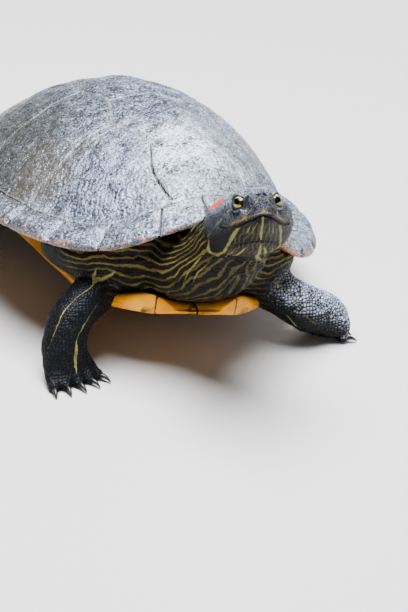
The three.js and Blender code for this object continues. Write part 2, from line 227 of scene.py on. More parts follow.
def into_scene(name, data):
    thing = bpy.data.objects.new(name, data)
    bpy.context.scene.collection.objects.link(thing)
    return thing


def make_piece(name, points, faces, material, attributes):
    mesh = bpy.data.meshes.new(name)
    mesh.from_pydata(to_row(np.asarray(points, float)).tolist(), [], [tuple(map(int, f)) for f in faces])
    mesh.update()
    shell = bmesh.new()
    shell.from_mesh(mesh)
    bmesh.ops.recalc_face_normals(shell, faces=shell.faces)
    shell.to_mesh(mesh)
    shell.free()
    for key, values in attributes.items():
        mesh.attributes.new(key, "FLOAT", "POINT").data.foreach_set("value", np.asarray(values, np.float32))
    mesh.shade_smooth()
    piece = into_scene(name, mesh)
    mesh.materials.append(material)
    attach(piece, "root")
    return piece


def sheet(rows, columns):
    """The quads of a grid of points, and its edge as a ring of point numbers."""
    index = np.arange(rows * columns).reshape(rows, columns)
    quads = np.stack([index[:-1, :-1], index[1:, :-1], index[1:, 1:], index[:-1, 1:]], -1).reshape(-1, 4)
    return quads, np.concatenate([index[:-1, 0], index[-1, :-1], index[:0:-1, -1], index[0, :0:-1]])


def square_to_disc(cells):
    """A square grid bent onto a disc: radius and angle for each grid point."""
    ticks = np.linspace(-1, 1, cells + 1)
    u, v = np.meshgrid(ticks, ticks, indexing="ij")
    wide = np.abs(u) > np.abs(v)
    radius = np.where(wide, np.abs(u), np.abs(v))
    safe_u, safe_v = np.where(u == 0, 1, u), np.where(v == 0, 1, v)
    angle = np.where(wide, np.pi / 4 * v / safe_u + np.where(u < 0, np.pi, 0),
                     np.pi / 2 - np.pi / 4 * u / safe_v + np.where(v < 0, np.pi, 0))
    return radius.ravel(), np.arctan2(np.sin(angle), np.cos(angle)).ravel()


grid_radius, grid_angle = square_to_disc(carapace_cells)
dome_quads, dome_edge = sheet(carapace_cells + 1, carapace_cells + 1)
grid_x, grid_y = rim_plan(grid_angle, grid_radius)
plan = np.stack([np.abs(grid_x), grid_y], 1)
seam_gap = np.full(len(plan), np.inf)
for seam in scute_seams:
    seam_gap = np.minimum(seam_gap, polyline_distance(plan, seam))
on_ring = smooth(seam_ring - 0.004, seam_ring + 0.004, grid_radius)
rim_place = np.interp(np.abs(grid_angle), rim_angles, rim_run)


def wavy(values, length, terms, seed):
    """A smooth irregular wave along one or more coordinates, about +-1."""
    dice = np.random.default_rng(seed)
    total = 0
    for _ in range(terms):
        direction = dice.normal(size=values.shape[1])
        direction /= np.linalg.norm(direction)
        total = total + np.sin(values @ direction * 2 * np.pi / (length * dice.uniform(0.7, 1.5))
                               + dice.uniform(0, 6.28))
    return total / np.sqrt(terms)


# Relief: pillowed scutes, a groove at each seam, wrinkles on the pleurals and a low keel.
groove_deep, groove_worn, groove_wide = 0.8, 0.4, 0.6
wrinkle_high, growth_high, ridge_high, ripple_high = 0.36, 0.1, 0.2, 0.3
wrinkle_step, growth_step, ridge_step, ripple_step = 2.9, 2.6, 3.2, 4.6           # crest to crest
keel_high, keel_wide, swell_high = 1.3, 7, 2.2
horn_sunk = 0.9                                                   # the horn is let in, so pillows end level
flat = np.stack([grid_x, grid_y], 1)
ring_gap = (seam_ring - grid_radius) * shell_width / 2
pillow = 0.9 * (1 - np.exp(-seam_gap / 5.0)) + 1.8 * on_ring * (1 - np.exp(-seam_gap / 3.5))
worn_seam = smooth(-76, -60, grid_y) * (1 - on_ring) * smooth(0, 4, ring_gap)
groove = -(groove_deep - groove_worn * worn_seam) * bell(seam_gap, groove_wide)
pleural = smooth(24, 34, np.abs(grid_x)) * smooth(0.0, 3.0, ring_gap)
bend = 2.4 * wavy(flat, 26, 4, 3) + 1.5 * wavy(flat, 9, 5, 6)
wrinkle = np.sin(2 * np.pi * rim_place / wrinkle_step + bend)
wrinkle *= np.clip(0.5 + 0.75 * wavy(flat, 8, 5, 5), 0, 1.3)
wrinkle *= wrinkle_high * pleural * bell(ring_gap - 5, 12)
growth = growth_high * np.sin(seam_gap * 2 * np.pi / growth_step) * bell(seam_gap - 5, 6)
growth *= 0.5 + 0.5 * wavy(flat, 15, 4, 9)
keel = keel_high * bell(grid_x, keel_wide) * smooth(-70, -30, grid_y) * (1 - smooth(60, 100, grid_y))
lumps = 0.25 * wavy(flat, 22, 5, 11) + 0.12 * wavy(flat, 8, 5, 12)
front_swell = swell_high * bell(grid_x, 20) * bell(grid_y + 84, 15)
notches = np.min([np.abs(rim_place - s) for s in marginal_stations], axis=0)
notch_depth = 0.6 + 1.9 * smooth(200, 300, rim_place)
scallop = -notch_depth * bell(notches, 2.6) * smooth(0.9, 1.0, grid_radius)
height = dome_height(grid_radius, grid_angle) - rim_thickness * 0.45 * bell(1 - grid_radius, 0.012)
uneven = 0.5 + 0.5 * wavy(flat, 11, 4, 8)
ridges = np.sin(2 * np.pi * rim_place / ridge_step + 1.3 * wavy(flat, 12, 4, 9))
ridges *= ridge_high * on_ring * uneven
ripples = (ripple_high * uneven * bell(np.hypot(grid_x, grid_y + 78), 24) * (1 - on_ring)
           * np.sin(2 * np.pi * grid_y / ripple_step + 2.2 * wavy(flat, 15, 4, 10)))
height = (height + pillow + groove + wrinkle + growth + ridges + ripples + keel
          + lumps * smooth(1.0, 0.9, grid_radius) + front_swell - horn_sunk)
out_x, out_y = rim_plan(grid_angle, grid_radius * (1 + scallop / (shell_width / 2)))
dome_points = np.stack([out_x, out_y, height], 1)

# The underside curls in from the rim to a flat ceiling over the body.
edge_angle = grid_angle[dome_edge]
edge_notch = scallop[dome_edge] / (shell_width / 2)
# under the rim: radius, drop in rim thicknesses
under_rows = [(1.004, 0.55), (0.998, 0.85), (0.985, 1), (0.95, 1), (0.91, 1), (0.87, 1), (0.83, 0.65),
    (0.8, 0.3), (0.6, 0.3)]
points = [dome_points]
faces = dome_quads.tolist()
previous = dome_edge
attribute_radius = [grid_radius]
for step, (radius, drop) in enumerate(under_rows):
    x, y = rim_plan(edge_angle, radius * (1 + edge_notch))
    level = rim_height(edge_angle) - rim_thickness * drop
    if radius < 0.7:
        level = np.full(len(x), rim_side)
    current = len(dome_points) + step * len(x) + np.arange(len(x))
    points.append(np.stack([x, y, level], 1))
    attribute_radius.append(2 - np.full(len(x), radius))
    faces += np.stack([previous, current, np.roll(current, -1), np.roll(previous, -1)], 1)[:, ::-1].tolist()
    previous = current
faces.append(previous.tolist())
carapace_points = np.concatenate(points)
under_place = np.tile(rim_place[dome_edge], len(under_rows))
edge_reach = np.concatenate(attribute_radius)
under_gap = np.min([np.abs(under_place - s) for s in marginal_stations], axis=0)
seam_all = np.concatenate([seam_gap + 0.32 * worn_seam + 0.1, under_gap])

# Old keratin, scuffed on rock and bleached by sun: matt slate grey with pale and dark flecks under a
# broad soft sheen, black dirt in the seams, and the orange-brown underlayer showing along the rim. Over it
# lie painted glare, near-white streaks on the front scutes, and painted glints, near-white specks on
# patches.
carapace_horn, tree, shader = new_material("worn_carapace_horn")
place = add(tree, "TexCoord").outputs["Object"]
gap, reach, painted_glare, silt = (add(tree, "Attribute", attribute_name=key).outputs["Fac"]
                           for key in ("seam_gap", "rim_reach", "painted_glare", "silt"))
fleck = add(tree, "TexNoise", {"Vector": place, "Scale": 900, "Detail": 3, "Roughness": 0.7})       # 1 mm
patch = add(tree, "TexNoise", {"Vector": place, "Scale": 130, "Detail": 4, "Roughness": 0.6})       # 8 mm
cloud = add(tree, "TexNoise", {"Vector": place, "Scale": 16, "Detail": 2, "Roughness": 0.5})        # 60 mm
mottle = add(tree, "Math", [patch, 0.45, fleck], operation="MULTIPLY_ADD")
tone = add(tree, "MapRange", {"Value": mottle, "From Min": 0.5, "From Max": 0.97})
colour = add(tree, "ValToRGB", {"Fac": tone})
colour.color_ramp.elements.new(0.5)
slate_stops = (0.12, "#1d2024"), (0.5, "#50565d"), (0.95, "#a9aeb7")
for stop, (position, tint) in zip(colour.color_ramp.elements, slate_stops):
    stop.position = position
    stop.color = srgb(tint)
# Painted glints: near-white specks scattered over patches of the shell.
glint_cells = add(tree, "TexVoronoi", {"Vector": place, "Scale": 480})                      # flecks 2 mm apart
speck = add(tree, "MapRange", {"Value": glint_cells, "From Min": 0.34, "From Max": 0.2})
glint_patches = add(tree, "MapRange", {"Value": patch, "From Min": 0.42, "From Max": 0.62, "To Max": 0.6})
speck_on = add(tree, "Math", [speck, glint_patches], operation="MULTIPLY")
# Painted glare: near-white streaks over the front scutes.
glare_streaks = add(tree, "MapRange", {"Value": mottle, "From Min": 0.6, "From Max": 0.86})
glare_on = add(tree, "Math", [glare_streaks, painted_glare], operation="MULTIPLY")
brown = add(tree, "MapRange", {"Value": cloud, "From Min": 0.5, "From Max": 0.75, "To Max": 0.55})
pale = add(tree, "MapRange", {"Value": gap, "From Min": 1.5, "From Max": 0.6, "To Max": 0.35})
ragged = add(tree, "Math", [patch, 0.9, gap], operation="MULTIPLY_ADD")
seam_dirt = add(tree, "MapRange", {"Value": ragged, "From Min": 1.2, "From Max": 0.9})
rim_edge = add(tree, "Math", [patch, 0.03, reach], operation="MULTIPLY_ADD")
rim_glow = add(tree, "MapRange", {"Value": rim_edge, "From Min": 1.012, "From Max": 1.02})
under = add(tree, "MapRange", {"Value": rim_edge, "From Min": 1.03, "From Max": 1.05})
smudge = add(tree, "TexNoise", {"Vector": place, "Scale": 75, "Detail": 3})            # blots 13 mm wide
smudged = add(tree, "MapRange", {"Value": smudge, "From Min": 0.46, "From Max": 0.56})
belly = add(tree, "MixRGB", [smudged, "#a9812f", "#2a2216"])
for amount, tint in ((speck_on, "#ccd0d8"), (glare_on, "#eceff4"), (silt, "#3f3a2c"), (brown, "#6b6048"),
                     (pale, "#aaa898"), (seam_dirt, "#141210"), (rim_glow, "#b06c22"), (under, belly)):
    colour = add(tree, "MixRGB", [amount, colour, tint])
sheen = add(tree, "MapRange", {"Value": fleck, "From Min": 0.3, "From Max": 0.75, "To Min": 0.16,
                               "To Max": 0.36})
pits = add(tree, "Bump", {"Height": fleck, "Distance": 0.0004, "Strength": 0.9})
grain = add(tree, "Bump", {"Height": patch, "Distance": 0.003, "Strength": 0.85, "Normal": pits})
wire(shader, {"Base Color": colour, "Roughness": sheen, "Normal": grain, "Specular Tint": "#e2ecff",
              "IOR": 1.85})                              # the waxy bloom on old horn reflects strongly

flat_x, flat_y = carapace_points[:, 0], carapace_points[:, 1]
# Painted glare lies over the first vertebral scute and a front marginal right of the neck.
glare_amount = np.maximum(bell(np.hypot(flat_x + 2, flat_y + 72), 22),
                          bell(np.hypot(flat_x + 17, flat_y + 104), 10))
silt_amount = 0.75 * bell(np.hypot(flat_x + 75, (flat_y - 5) * 0.6), 42)
horn_fields = {"seam_gap": seam_all, "rim_reach": edge_reach, "painted_glare": glare_amount, "silt": silt_amount}
carapace = make_piece("carapace_scutes", place_shell(carapace_points), faces, carapace_horn,
                      horn_fields)
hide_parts("carapace")


# ---- plastron -------------------------------------------------------------------------------
# The lower shell: a flat bony plate under yellow horn, joined to the upper shell by a bridge on each
# side. Its front edge turns up into two low horns, and each scute has a dark blotch.
plastron_front, plastron_rear, plastron_thickness = -106.0, 101.0, 7.0
front_lobe, rear_lobe = 49.0, 51.0
bridge_end, bridge_half, bridge_top, bridge_seam = 44.0, 77.0, 24.0, 47.0
lip_rise, horn_rise, edge_turn, crease_deep, crease_wide = 2, 5, 5, 0.35, 0.7
plate_rows, plate_columns = 260, 150


def plastron_half(y):
    front = front_lobe * np.sqrt(np.clip(1 - (np.clip(-y - 62, 0, None) / 45) ** 2.6, 0, 1))
    rear = rear_lobe * np.sqrt(np.clip(1 - (np.clip(y - 58, 0, None) / 45) ** 2.8, 0, 1))
    return front + (rear - front) * smooth(-20, 20, y)


ease = np.sin(np.linspace(-np.pi / 2, np.pi / 2, plate_rows))
row = (plastron_front + plastron_rear) / 2 + (plastron_rear - plastron_front) / 2 * ease
column = np.sin(np.linspace(-np.pi / 2, np.pi / 2, plate_columns))
row, column = np.meshgrid(row, column, indexing="ij")
in_bridge = smooth(-bridge_end - 4, -bridge_end + 4, row) * (1 - smooth(bridge_end - 4, bridge_end + 4, row))
half = plastron_half(row)
half = half + (bridge_half - half) * in_bridge
notch = 7 * bell(column * half, 8) * smooth(80, 100, row)
lip = smooth(-78, plastron_front, row)
rise = in_bridge * bridge_top * smooth(0.56, 1, np.abs(column))
x, y = half * column, row - notch


def quarter_round(share):
    """0 before the edge and 1 at it, on a quarter circle."""
    return 1 - np.sqrt(np.clip(1 - np.clip(share, 0, 1) ** 2, 0, 1))


front_turn = quarter_round((plastron_front + edge_turn - row) / edge_turn)
rear_turn = quarter_round((row - plastron_rear + edge_turn) / edge_turn)
round_edge = (1 - in_bridge) * quarter_round((np.abs(column) - 0.88) / 0.12)
rounding = np.maximum(np.maximum(round_edge, front_turn), rear_turn) * plastron_thickness / 2
horn = lip * horn_rise * bell(np.abs(x) - 24, 11)
lower = rise + lip * lip_rise + rounding
upper = rise + plastron_thickness - rounding + horn + in_bridge * 3
plate_gap = np.abs(x)
for middle_y, side_y in [(-84, -125), (-58, -68), (-18, -24), (24, 30), (62, 54)]:      # at x 0 and 45
    line = middle_y + (side_y - middle_y) * np.abs(x) / 45
    plate_gap = np.minimum(plate_gap, np.abs(y - line))
plate_gap = np.minimum(plate_gap, np.where(in_bridge > 0.5, np.abs(np.abs(x) - bridge_seam), 99))
crease = crease_deep * bell(plate_gap, crease_wide)
points = np.concatenate([np.stack([x, y, lower + crease], -1).reshape(-1, 3),
                         np.stack([x, y, upper - crease], -1).reshape(-1, 3)])
quads, rim = sheet(plate_rows, plate_columns)
wall = np.stack([rim, np.roll(rim, -1), np.roll(rim, -1) + x.size, rim + x.size], 1)
faces = np.concatenate([quads[:, ::-1], quads + x.size, wall])
points = place_shell(points)
points[:, 2] = np.maximum(points[:, 2], 0)
blotches = [(24, -76, 15, 11), (26, -40, 17, 14), (26, 3, 17, 15), (24, 44, 16, 13), (22, 80, 12, 9),
            (62, -10, 8, 12), (62, 22, 8, 10)]                    # x, y, half width, half length
blotch = np.full(x.shape, -np.inf)
for blot_x, blot_y, blot_w, blot_l in blotches:
    blotch = np.maximum(blotch, 1 - np.hypot((np.abs(x) - blot_x) / blot_w, (y - blot_y) / blot_l))
for smear_x, smear_w in [(-9, 20), (30, 9)]:
    blotch = np.maximum(blotch, 0.9 - np.hypot((x - smear_x) / smear_w, (y + 103) / 5))

# Yellow keratin, smooth from sliding on mud: glossy, orange at the front, with black seams and blotches,
# and painted shade darkening it behind the front lip and over the bridges, under the carapace.
plastron_horn, tree, shader = new_material("yellow_plastron_horn")
place = add(tree, "TexCoord").outputs["Object"]
gap, blot, shell_shade = (add(tree, "Attribute", attribute_name=key).outputs["Fac"]
                  for key in ("seam_gap", "blotch", "shell_shade"))
stain = add(tree, "TexNoise", {"Vector": place, "Scale": 90, "Detail": 4, "Roughness": 0.6})        # 11 mm
fine = add(tree, "TexNoise", {"Vector": place, "Scale": 420, "Detail": 3})                          # 2.4 mm
warmth = add(tree, "MapRange", {"Value": stain, "From Min": 0.3, "From Max": 0.7})
freckle = add(tree, "MapRange", {"Value": stain, "From Min": 0.63, "From Max": 0.68, "To Max": 0.75})
ragged = add(tree, "Math", [stain, 2.6, blot], operation="MULTIPLY_ADD")
dark = add(tree, "MapRange", {"Value": ragged, "From Min": 1.42, "From Max": 1.95})
dirt = add(tree, "Math", [fine, 0.8, gap], operation="MULTIPLY_ADD")
line = add(tree, "MapRange", {"Value": dirt, "From Min": 1.15, "From Max": 0.75})
colour = "#ee9418"
for amount, tint in ((warmth, "#ffbc42"), (freckle, "#5d2c0a"), (shell_shade, "#4c3b1c"), (dark, "#150b05"),
                     (line, "#1d120a")):
    colour = add(tree, "MixRGB", [amount, colour, tint])
scuff = add(tree, "Bump", {"Height": fine, "Distance": 0.0003, "Strength": 0.35})
wire(shader, {"Base Color": colour, "Roughness": 0.34, "IOR": 1.38, "Normal": scuff})
plate_fields = {"seam_gap": np.tile(plate_gap.ravel(), 2),
                "blotch": np.concatenate([(blotch - 0.8 * front_turn).ravel(), (blotch - 1.4).ravel()]),
                # Painted shade: darker behind the front lip and over the bridges, where the carapace shades
                # the plastron.
                "shell_shade": np.tile((0.5 * smooth(-100, -84, row) + 0.2 * in_bridge).ravel(), 2)}
plastron = make_piece("plastron_scutes", points, faces, plastron_horn, plate_fields)
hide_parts("plastron")


# ---- skin -----------------------------------------------------------------------------------
# One skin over the head, neck, trunk, legs, feet and tail. It is loose and folded at the neck and
# shoulders, tight over the skull, and beaded with small scales on the legs.
skin_voxel, sole_level = 0.9, 0.45
rim_room, dome_room = 4.4, 7.0                                    # the skin stays this far under the shell
skull_back = -26.0                                                # where the neck begins, behind the eyes
# trunk, in the shell's frame: y, half width, low, high
trunk_rows = [[-101, 28, 16, 50], [-96, 45, 10, 54], [-86, 57, 5, 51], [-70, 64, 3, 44], [-54, 65, 4, 38],
    [-42, 56, 6, 37], [-20, 53, 6, 36], [0, 53, 6, 35], [20, 53, 6, 35], [42, 56, 6, 34], [54, 62, 4, 33],
    [70, 59, 3, 31], [86, 49, 4, 29], [98, 30, 8, 26]]
# head, from its centre: forward, half width, top, bottom
head_rows = [[-27, 13, 7, -11], [-22, 17, 10, -14], [-16, 19.6, 11.4, -15.5], [-9, 20.2, 11.8, -15.6],
    [-2, 18.6, 11.8, -14.6], [4, 16.2, 11.6, -13.4], [10, 13.6, 11.2, -12.2], [16, 11, 10.4, -10.8],
    [21, 8.4, 9, -9.4], [24.6, 6.2, 7.6, -8.2], [26.8, 3.8, 5.8, -5.6]]
# neck, limbs and tail: x, y, z, half-size along the side direction, other half-size
neck_rows = [[3, -76, 53.5, 34, 21], [4, -92, 56.5, 31, 21], [5, -105, 62.5, 26, 18.5],
    [6.5, -115, 73.5, 21, 16.5], [7, -124, 84.5, 18.5, 15.2], [7.5, -131, 92.5, 17, 13.8]]
foreleg_right = [[-27, -64, 41, 14, 14], [-38, -76, 38.5, 11.5, 12], [-50, -84, 34.5, 10.5, 10.5],
    [-59.5, -89.5, 27, 10.5, 10], [-63, -94, 17, 11.5, 9], [-62.5, -96, 10.5, 13, 7.4]]
forefoot_right = [[-62.5, -95.5, 11.2, 12.8, 7.4], [-61.5, -98, 6.8, 14, 6.4], [-60.4, -101, 4.2, 15, 4.8],
    [-59.4, -104.5, 2.6, 14.4, 3.4]]
foreleg_left = [[28, -66, 36, 14, 13], [41, -78, 33.5, 12, 12], [53, -85, 28.5, 11, 11],
    [63, -88, 22.5, 10.6, 11.2], [70.5, -87.5, 18, 10.6, 11.8], [76, -85.5, 15.2, 10.6, 11.6]]
forefoot_left = [[75.4, -85.7, 15.4, 10.5, 11.7], [80, -84.7, 12.6, 11.2, 11.6], [84.5, -83.8, 9, 11.8, 9.6],
    [88, -83, 5, 11.4, 6]]
hindleg_right = [[-36, 50, 32, 16, 15], [-56, 48, 27, 15, 14], [-74, 50, 20, 13.5, 12.5],
    [-84, 60, 14, 12, 10.5], [-86, 74, 10, 11.5, 8.5]]
hindleg_left = [[36, 50, 22, 16, 15], [56, 48, 18, 15, 14], [74, 50, 14.5, 13.5, 12], [84, 60, 12, 12, 10],
    [86, 74, 10, 11.5, 8.5]]
hindfoot_right = [[-86, 73, 10, 11.5, 8.5], [-87.5, 82, 6.5, 13.5, 6.2], [-90, 93, 4, 16, 4.4],
    [-93, 104, 2.6, 17, 3]]
hindfoot_left = [[-x, *rest] for x, *rest in hindfoot_right]
tail_rows = [[0, 84, 13, 10, 9], [0, 98, 11, 8.5, 8], [2, 112, 8, 6, 5.6], [7, 125, 5, 3.8, 3.8],
    [14, 135, 3, 2, 2.2]]
toe_reach = {"forefoot_right": 6.5, "forefoot_left": 4.6, "hindfoot_right": 9.0, "hindfoot_left": 9.0}
toe_shares, toe_flatness = np.array([-1, -0.5, 0, 0.5, 1]), 0.9
head_square, snout_tip = 0.84, [27.6, 1.6, 4.4, -3.6]
body_square, body_steps, body_sides = 0.8, 90, 64                 # below 1 squares a section off


def unit(vectors):
    return vectors / np.linalg.norm(vectors, axis=-1, keepdims=True)


def limb_frame(rows, side, position):
    station = along(rows, position)
    tangent = unit(along(rows, position + 0.01)[:, :3] - along(rows, position - 0.01)[:, :3])
    across = unit(np.asarray(side, float) - tangent * (tangent @ np.asarray(side, float))[:, None])
    return station[:, :3], tangent, across, np.cross(tangent, across), station[:, 3], station[:, 4]


def limb_rings(rows, side, steps=40, sides=40):
    centre, _, across, other, a, b = limb_frame(rows, side, np.linspace(0, 1, steps))
    around = np.linspace(0, 2 * np.pi, sides, endpoint=False)[None, :, None]
    return (centre[:, None] + across[:, None] * a[:, None, None] * np.cos(around)
            + other[:, None] * b[:, None, None] * np.sin(around))


def loft(rings):
    """Points and faces of a closed tube through rings of points."""
    count, sides = rings.shape[:2]
    index = np.arange(count * sides).reshape(count, sides)
    ahead = np.roll(index, -1, axis=1)
    quads = np.stack([index[:-1], ahead[:-1], ahead[1:], index[1:]], -1).reshape(-1, 4).tolist()
    return rings.reshape(-1, 3), quads + [index[0].tolist(), index[-1].tolist()]


def in_head(points):
    """Head points (left, forward, up) to the part's frame."""
    return head_centre + np.asarray(points, float) @ head_axes


def toe_frames(foot, side, spread, reach):
    """Start, direction and reach of each toe of a foot."""
    root, end = np.array(foot[-2]), np.array(foot[-1])
    out = unit(np.array([end[0] - root[0], end[1] - root[1], 0]))
    across = np.asarray(side, float) - out * (out @ np.asarray(side, float))
    across = unit(across * [1, 1, 0])
    made = []
    for share in toe_shares:
        start = np.array([end[0], end[1], 0]) + across * share * end[3] * 0.78 - out * 4
        made.append((start, unit(out + across * share * spread), reach * (1.08 - 0.22 * share ** 2)))
    return made


around = np.linspace(0, 2 * np.pi, body_sides, endpoint=False)
across = signed_power(np.cos(around), body_square)
body_places = np.linspace(0, 1, body_steps)
forward, half, top, bottom = along(head_rows + [snout_tip], body_places).T[..., None]
head_rise = np.where(np.sin(around) > 0, top, -bottom) * signed_power(np.sin(around), head_square)
head_rings = in_head(np.stack([half * across, forward + 0 * around, head_rise], -1))
run, half, low, high = along(trunk_rows, body_places).T[..., None]
trunk_rise = (low + high) / 2 + (high - low) / 2 * signed_power(np.sin(around), body_square)
trunk_rings = place_shell(np.stack([half * across, run + 0 * around, trunk_rise], -1))
limbs = {
    "foreleg_right": (foreleg_right, (0.96, 0.26, 0)),
    "forefoot_right": (forefoot_right, (0.96, 0.26, 0)),
    "foreleg_left": (foreleg_left, (0.2, -0.98, 0)),
    "forefoot_left": (forefoot_left, (0.2, -0.98, 0)),
    "hindleg_right": (hindleg_right, (1, 0.2, 0)),
    "hindfoot_right": (hindfoot_right, (1, 0.2, 0)),
    "hindleg_left": (hindleg_left, (1, -0.2, 0)),
    "hindfoot_left": (hindfoot_left, (1, -0.2, 0)),
    "neck": (neck_rows, (1, 0, 0)),
    "tail": (tail_rows, (1, 0, 0)),
}
bodies = [head_rings, trunk_rings] + [limb_rings(rows, side) for rows, side in limbs.values()]
toes = {}
for foot in toe_reach:
    spread = 0.45 if foot.startswith("fore") else 0.4
    toes[foot] = toe_frames(*limbs[foot], spread, toe_reach[foot])
    for start, out, reach in toes[foot]:
        stations = [[*(start + out * run)[:2], level, wide, wide * toe_flatness] for run, level, wide in
                    ((0, 3.2, 3.1), (reach * 0.5, 3.1, 3.0), (reach, 2.5, 2.3), (reach + 1.0, 2.2, 1.0))]
        bodies.append(limb_rings(stations, np.cross(out, [0, 0, 1]), 12, 16))
flesh_points, flesh_faces, start = [], [], 0
for rings in bodies:
    points, faces = loft(rings)
    flesh_points.append(points)
    flesh_faces += [[corner + start for corner in face] for face in faces]
    start += len(points)
mesh = bpy.data.meshes.new("flesh")
mesh.from_pydata(to_row(np.concatenate(flesh_points)).tolist(), [], flesh_faces)
flesh = into_scene("flesh", mesh)
fuse = flesh.modifiers.new("fuse", "REMESH")
fuse.mode = "VOXEL"
fuse.voxel_size = skin_voxel * 0.001
fuse.adaptivity = 0
skin_mesh = bpy.data.meshes.new_from_object(flesh.evaluated_get(bpy.context.evaluated_depsgraph_get()))
bpy.data.objects.remove(flesh)


def read(items, key, width=3, kind=float):
    """One property of a mesh's vertices or edges, a row for each."""
    values = np.empty(len(items) * width, kind)
    items.foreach_get(key, values)
    return values.reshape(-1, width)


def read_skin():
    """The skin's points in millimetres, and its edges."""
    return read(skin_mesh.vertices, "co") * 1000 - row_shift, read(skin_mesh.edges, "vertices", 2, int)


def relax(points, edges, weight, rounds):
    """Eases each point towards the mean of its neighbours."""
    a, b = edges.T
    many = len(points)
    count = np.bincount(edges.ravel(), minlength=many)[:, None]
    for _ in range(rounds):
        total = np.stack([np.bincount(a, points[b, k], many) + np.bincount(b, points[a, k], many)
                          for k in range(3)], 1)
        points = points + weight[:, None] * (total / count - points)
    return points


def on_limb(points, rows, side):
    """Where points lie on a limb: place along it, angle about it, and distance out (1 is its surface)."""
    place = np.linspace(0, 1, 60)
    centre, tangent, across, other, a, b = limb_frame(rows, side, place)
    apart = (points ** 2).sum(1)[:, None] - 2 * points @ centre.T + (centre ** 2).sum(1)
    near = apart.argmin(1)
    offset = points - centre[near]
    run = (offset * tangent[near]).sum(1)
    wide = (offset * across[near]).sum(1)
    deep = (offset * other[near]).sum(1)
    past = np.where((near == 0) | (near == len(place) - 1), np.abs(run) / 5, 0)
    out = np.sqrt((wide / a[near]) ** 2 + (deep / b[near]) ** 2 + past ** 2)
    return place[near], np.arctan2(deep, wide), out, np.hypot(wide, deep)


def on_head(points):
    local = (points - head_centre) @ head_axes.T
    stations = np.array(head_rows)
    half, top, bottom = (np.interp(local[:, 1], stations[:, 0], stations[:, k]) for k in (1, 2, 3))
    reach = np.where(local[:, 2] > 0, top, -bottom)
    past = np.clip(np.abs(local[:, 1]) - 27, 0, None) / 5
    out = np.sqrt((local[:, 0] / half) ** 2 + (local[:, 2] / reach) ** 2 + past ** 2)
    return local, out


def on_trunk(points):
    local = unplace_shell(points)
    stations = np.array(trunk_rows)
    half, low, high = (np.interp(local[:, 1], stations[:, 0], stations[:, k]) for k in (1, 2, 3))
    past = np.clip(np.abs(local[:, 1] + 1.5) - 99.5, 0, None) / 5
    return np.sqrt((local[:, 0] / half) ** 2 + ((local[:, 2] - (low + high) / 2) / ((high - low) / 2)) ** 2
                   + past ** 2)


points, edges = read_skin()
nearness = [on_head(points)[1], on_trunk(points)] + [on_limb(points, *limb)[2] for limb in limbs.values()]
second = np.sort(np.array(nearness), axis=0)[1]
points = relax(points, edges, 0.6 * smooth(1.5, 1.1, second), 30)      # rounds the joins between the parts
points = relax(points, edges, np.full(len(points), 0.5), 4)           # and the voxel steps all over
points[:, 2] = np.where(points[:, 2] < sole_level, 0, points[:, 2])
body = unplace_shell(points)
radius, angle = shell_polar(body[:, 0], body[:, 1])
ceiling = np.where(radius > 0.8, rim_height(angle) - rim_room, dome_height(radius, angle) - dome_room)
body[:, 2] = np.where(radius < 1.0, np.minimum(body[:, 2], ceiling), body[:, 2])
points = np.where((radius < 1.0)[:, None], place_shell(body), points)
skin_mesh.vertices.foreach_set("co", to_row(points).ravel())


def refine(chosen):
    """Splits the skin's faces whose points are all chosen into quarters."""
    shell = bmesh.new()
    shell.from_mesh(skin_mesh)
    shell.verts.ensure_lookup_table()
    edges = [edge for edge in shell.edges if chosen[edge.verts[0].index] and chosen[edge.verts[1].index]]
    bmesh.ops.subdivide_edges(shell, edges=edges, cuts=1, use_grid_fill=True)
    shell.to_mesh(skin_mesh)
    shell.free()


def one_side(local):
    """Head points with the right half laid over the left."""
    return local * np.where(local[:, :1] < 0, [-1, 1, 1], 1)


head_local, head_out = on_head(points)
refine((head_out < 1.35) & (head_local[:, 1] > skull_back))
points = read_skin()[0]
head_local, head_out = on_head(points)
near_eye = np.linalg.norm(one_side(head_local) - eye_place, axis=1)
refine((head_out < 1.4) & ((head_local[:, 1] > 18) | (near_eye < 8.5)))
points = read_skin()[0]
head_local, head_out = on_head(points)
body = unplace_shell(points)
radius, _ = shell_polar(body[:, 0], body[:, 1])
tucked_in = (radius < 0.72) & (np.abs(body[:, 1]) < 84)            # hidden inside the shell
refine(~tucked_in & ((head_out > 1.35) | (head_local[:, 1] < skull_back)))
points, edges = read_skin()
head_local, head_out = on_head(points)
on_skull = smooth(1.5, 1.2, head_out) * smooth(skull_back, -22, head_local[:, 1])
points = relax(points, edges, 0.5 * on_skull, 3)
line_spacing, line_reach = 0.25, 4.0


def surface_line(line, width):
    """A line drawn on the skin: its points snapped to the surface, with half-widths along it."""
    steps = max(8, int(np.linalg.norm(np.diff(line, axis=0), axis=1).sum() / line_spacing))
    dense = along(line, np.linspace(0, 1, steps))
    snapped = np.array([skin_tree.find(Vector(p))[0] for p in dense])
    kernel = np.ones(5) / 5
    for k in range(3):
        snapped[2:-2, k] = np.convolve(snapped[:, k], kernel, "same")[2:-2]
    return np.column_stack([snapped, along(np.atleast_2d(width).T, np.linspace(0, 1, steps))[:, 0]])


def plant_tree(spots):
    """A search tree of points."""
    tree = KDTree(len(spots))
    for i, spot in enumerate(spots):
        tree.insert(spot, i)
    tree.balance()
    return tree


def inside_lines(lines):
    """How far each skin point is inside the nearest drawn line, in mm; negative outside it."""
    rows = np.concatenate(lines)
    tree = plant_tree(rows[:, :3])
    low, high = rows[:, :3].min(0) - line_reach, rows[:, :3].max(0) + line_reach
    inside = np.full(len(points), -line_reach)
    for i in np.flatnonzero(((points > low) & (points < high)).all(1)):
        _, which, apart = tree.find(points[i])
        inside[i] = max(-line_reach, rows[which, 3] - apart)
    return inside


def both_sides(line):
    line = np.asarray(line, float)
    return [in_head(line), in_head(line * [-1, 1, 1])]


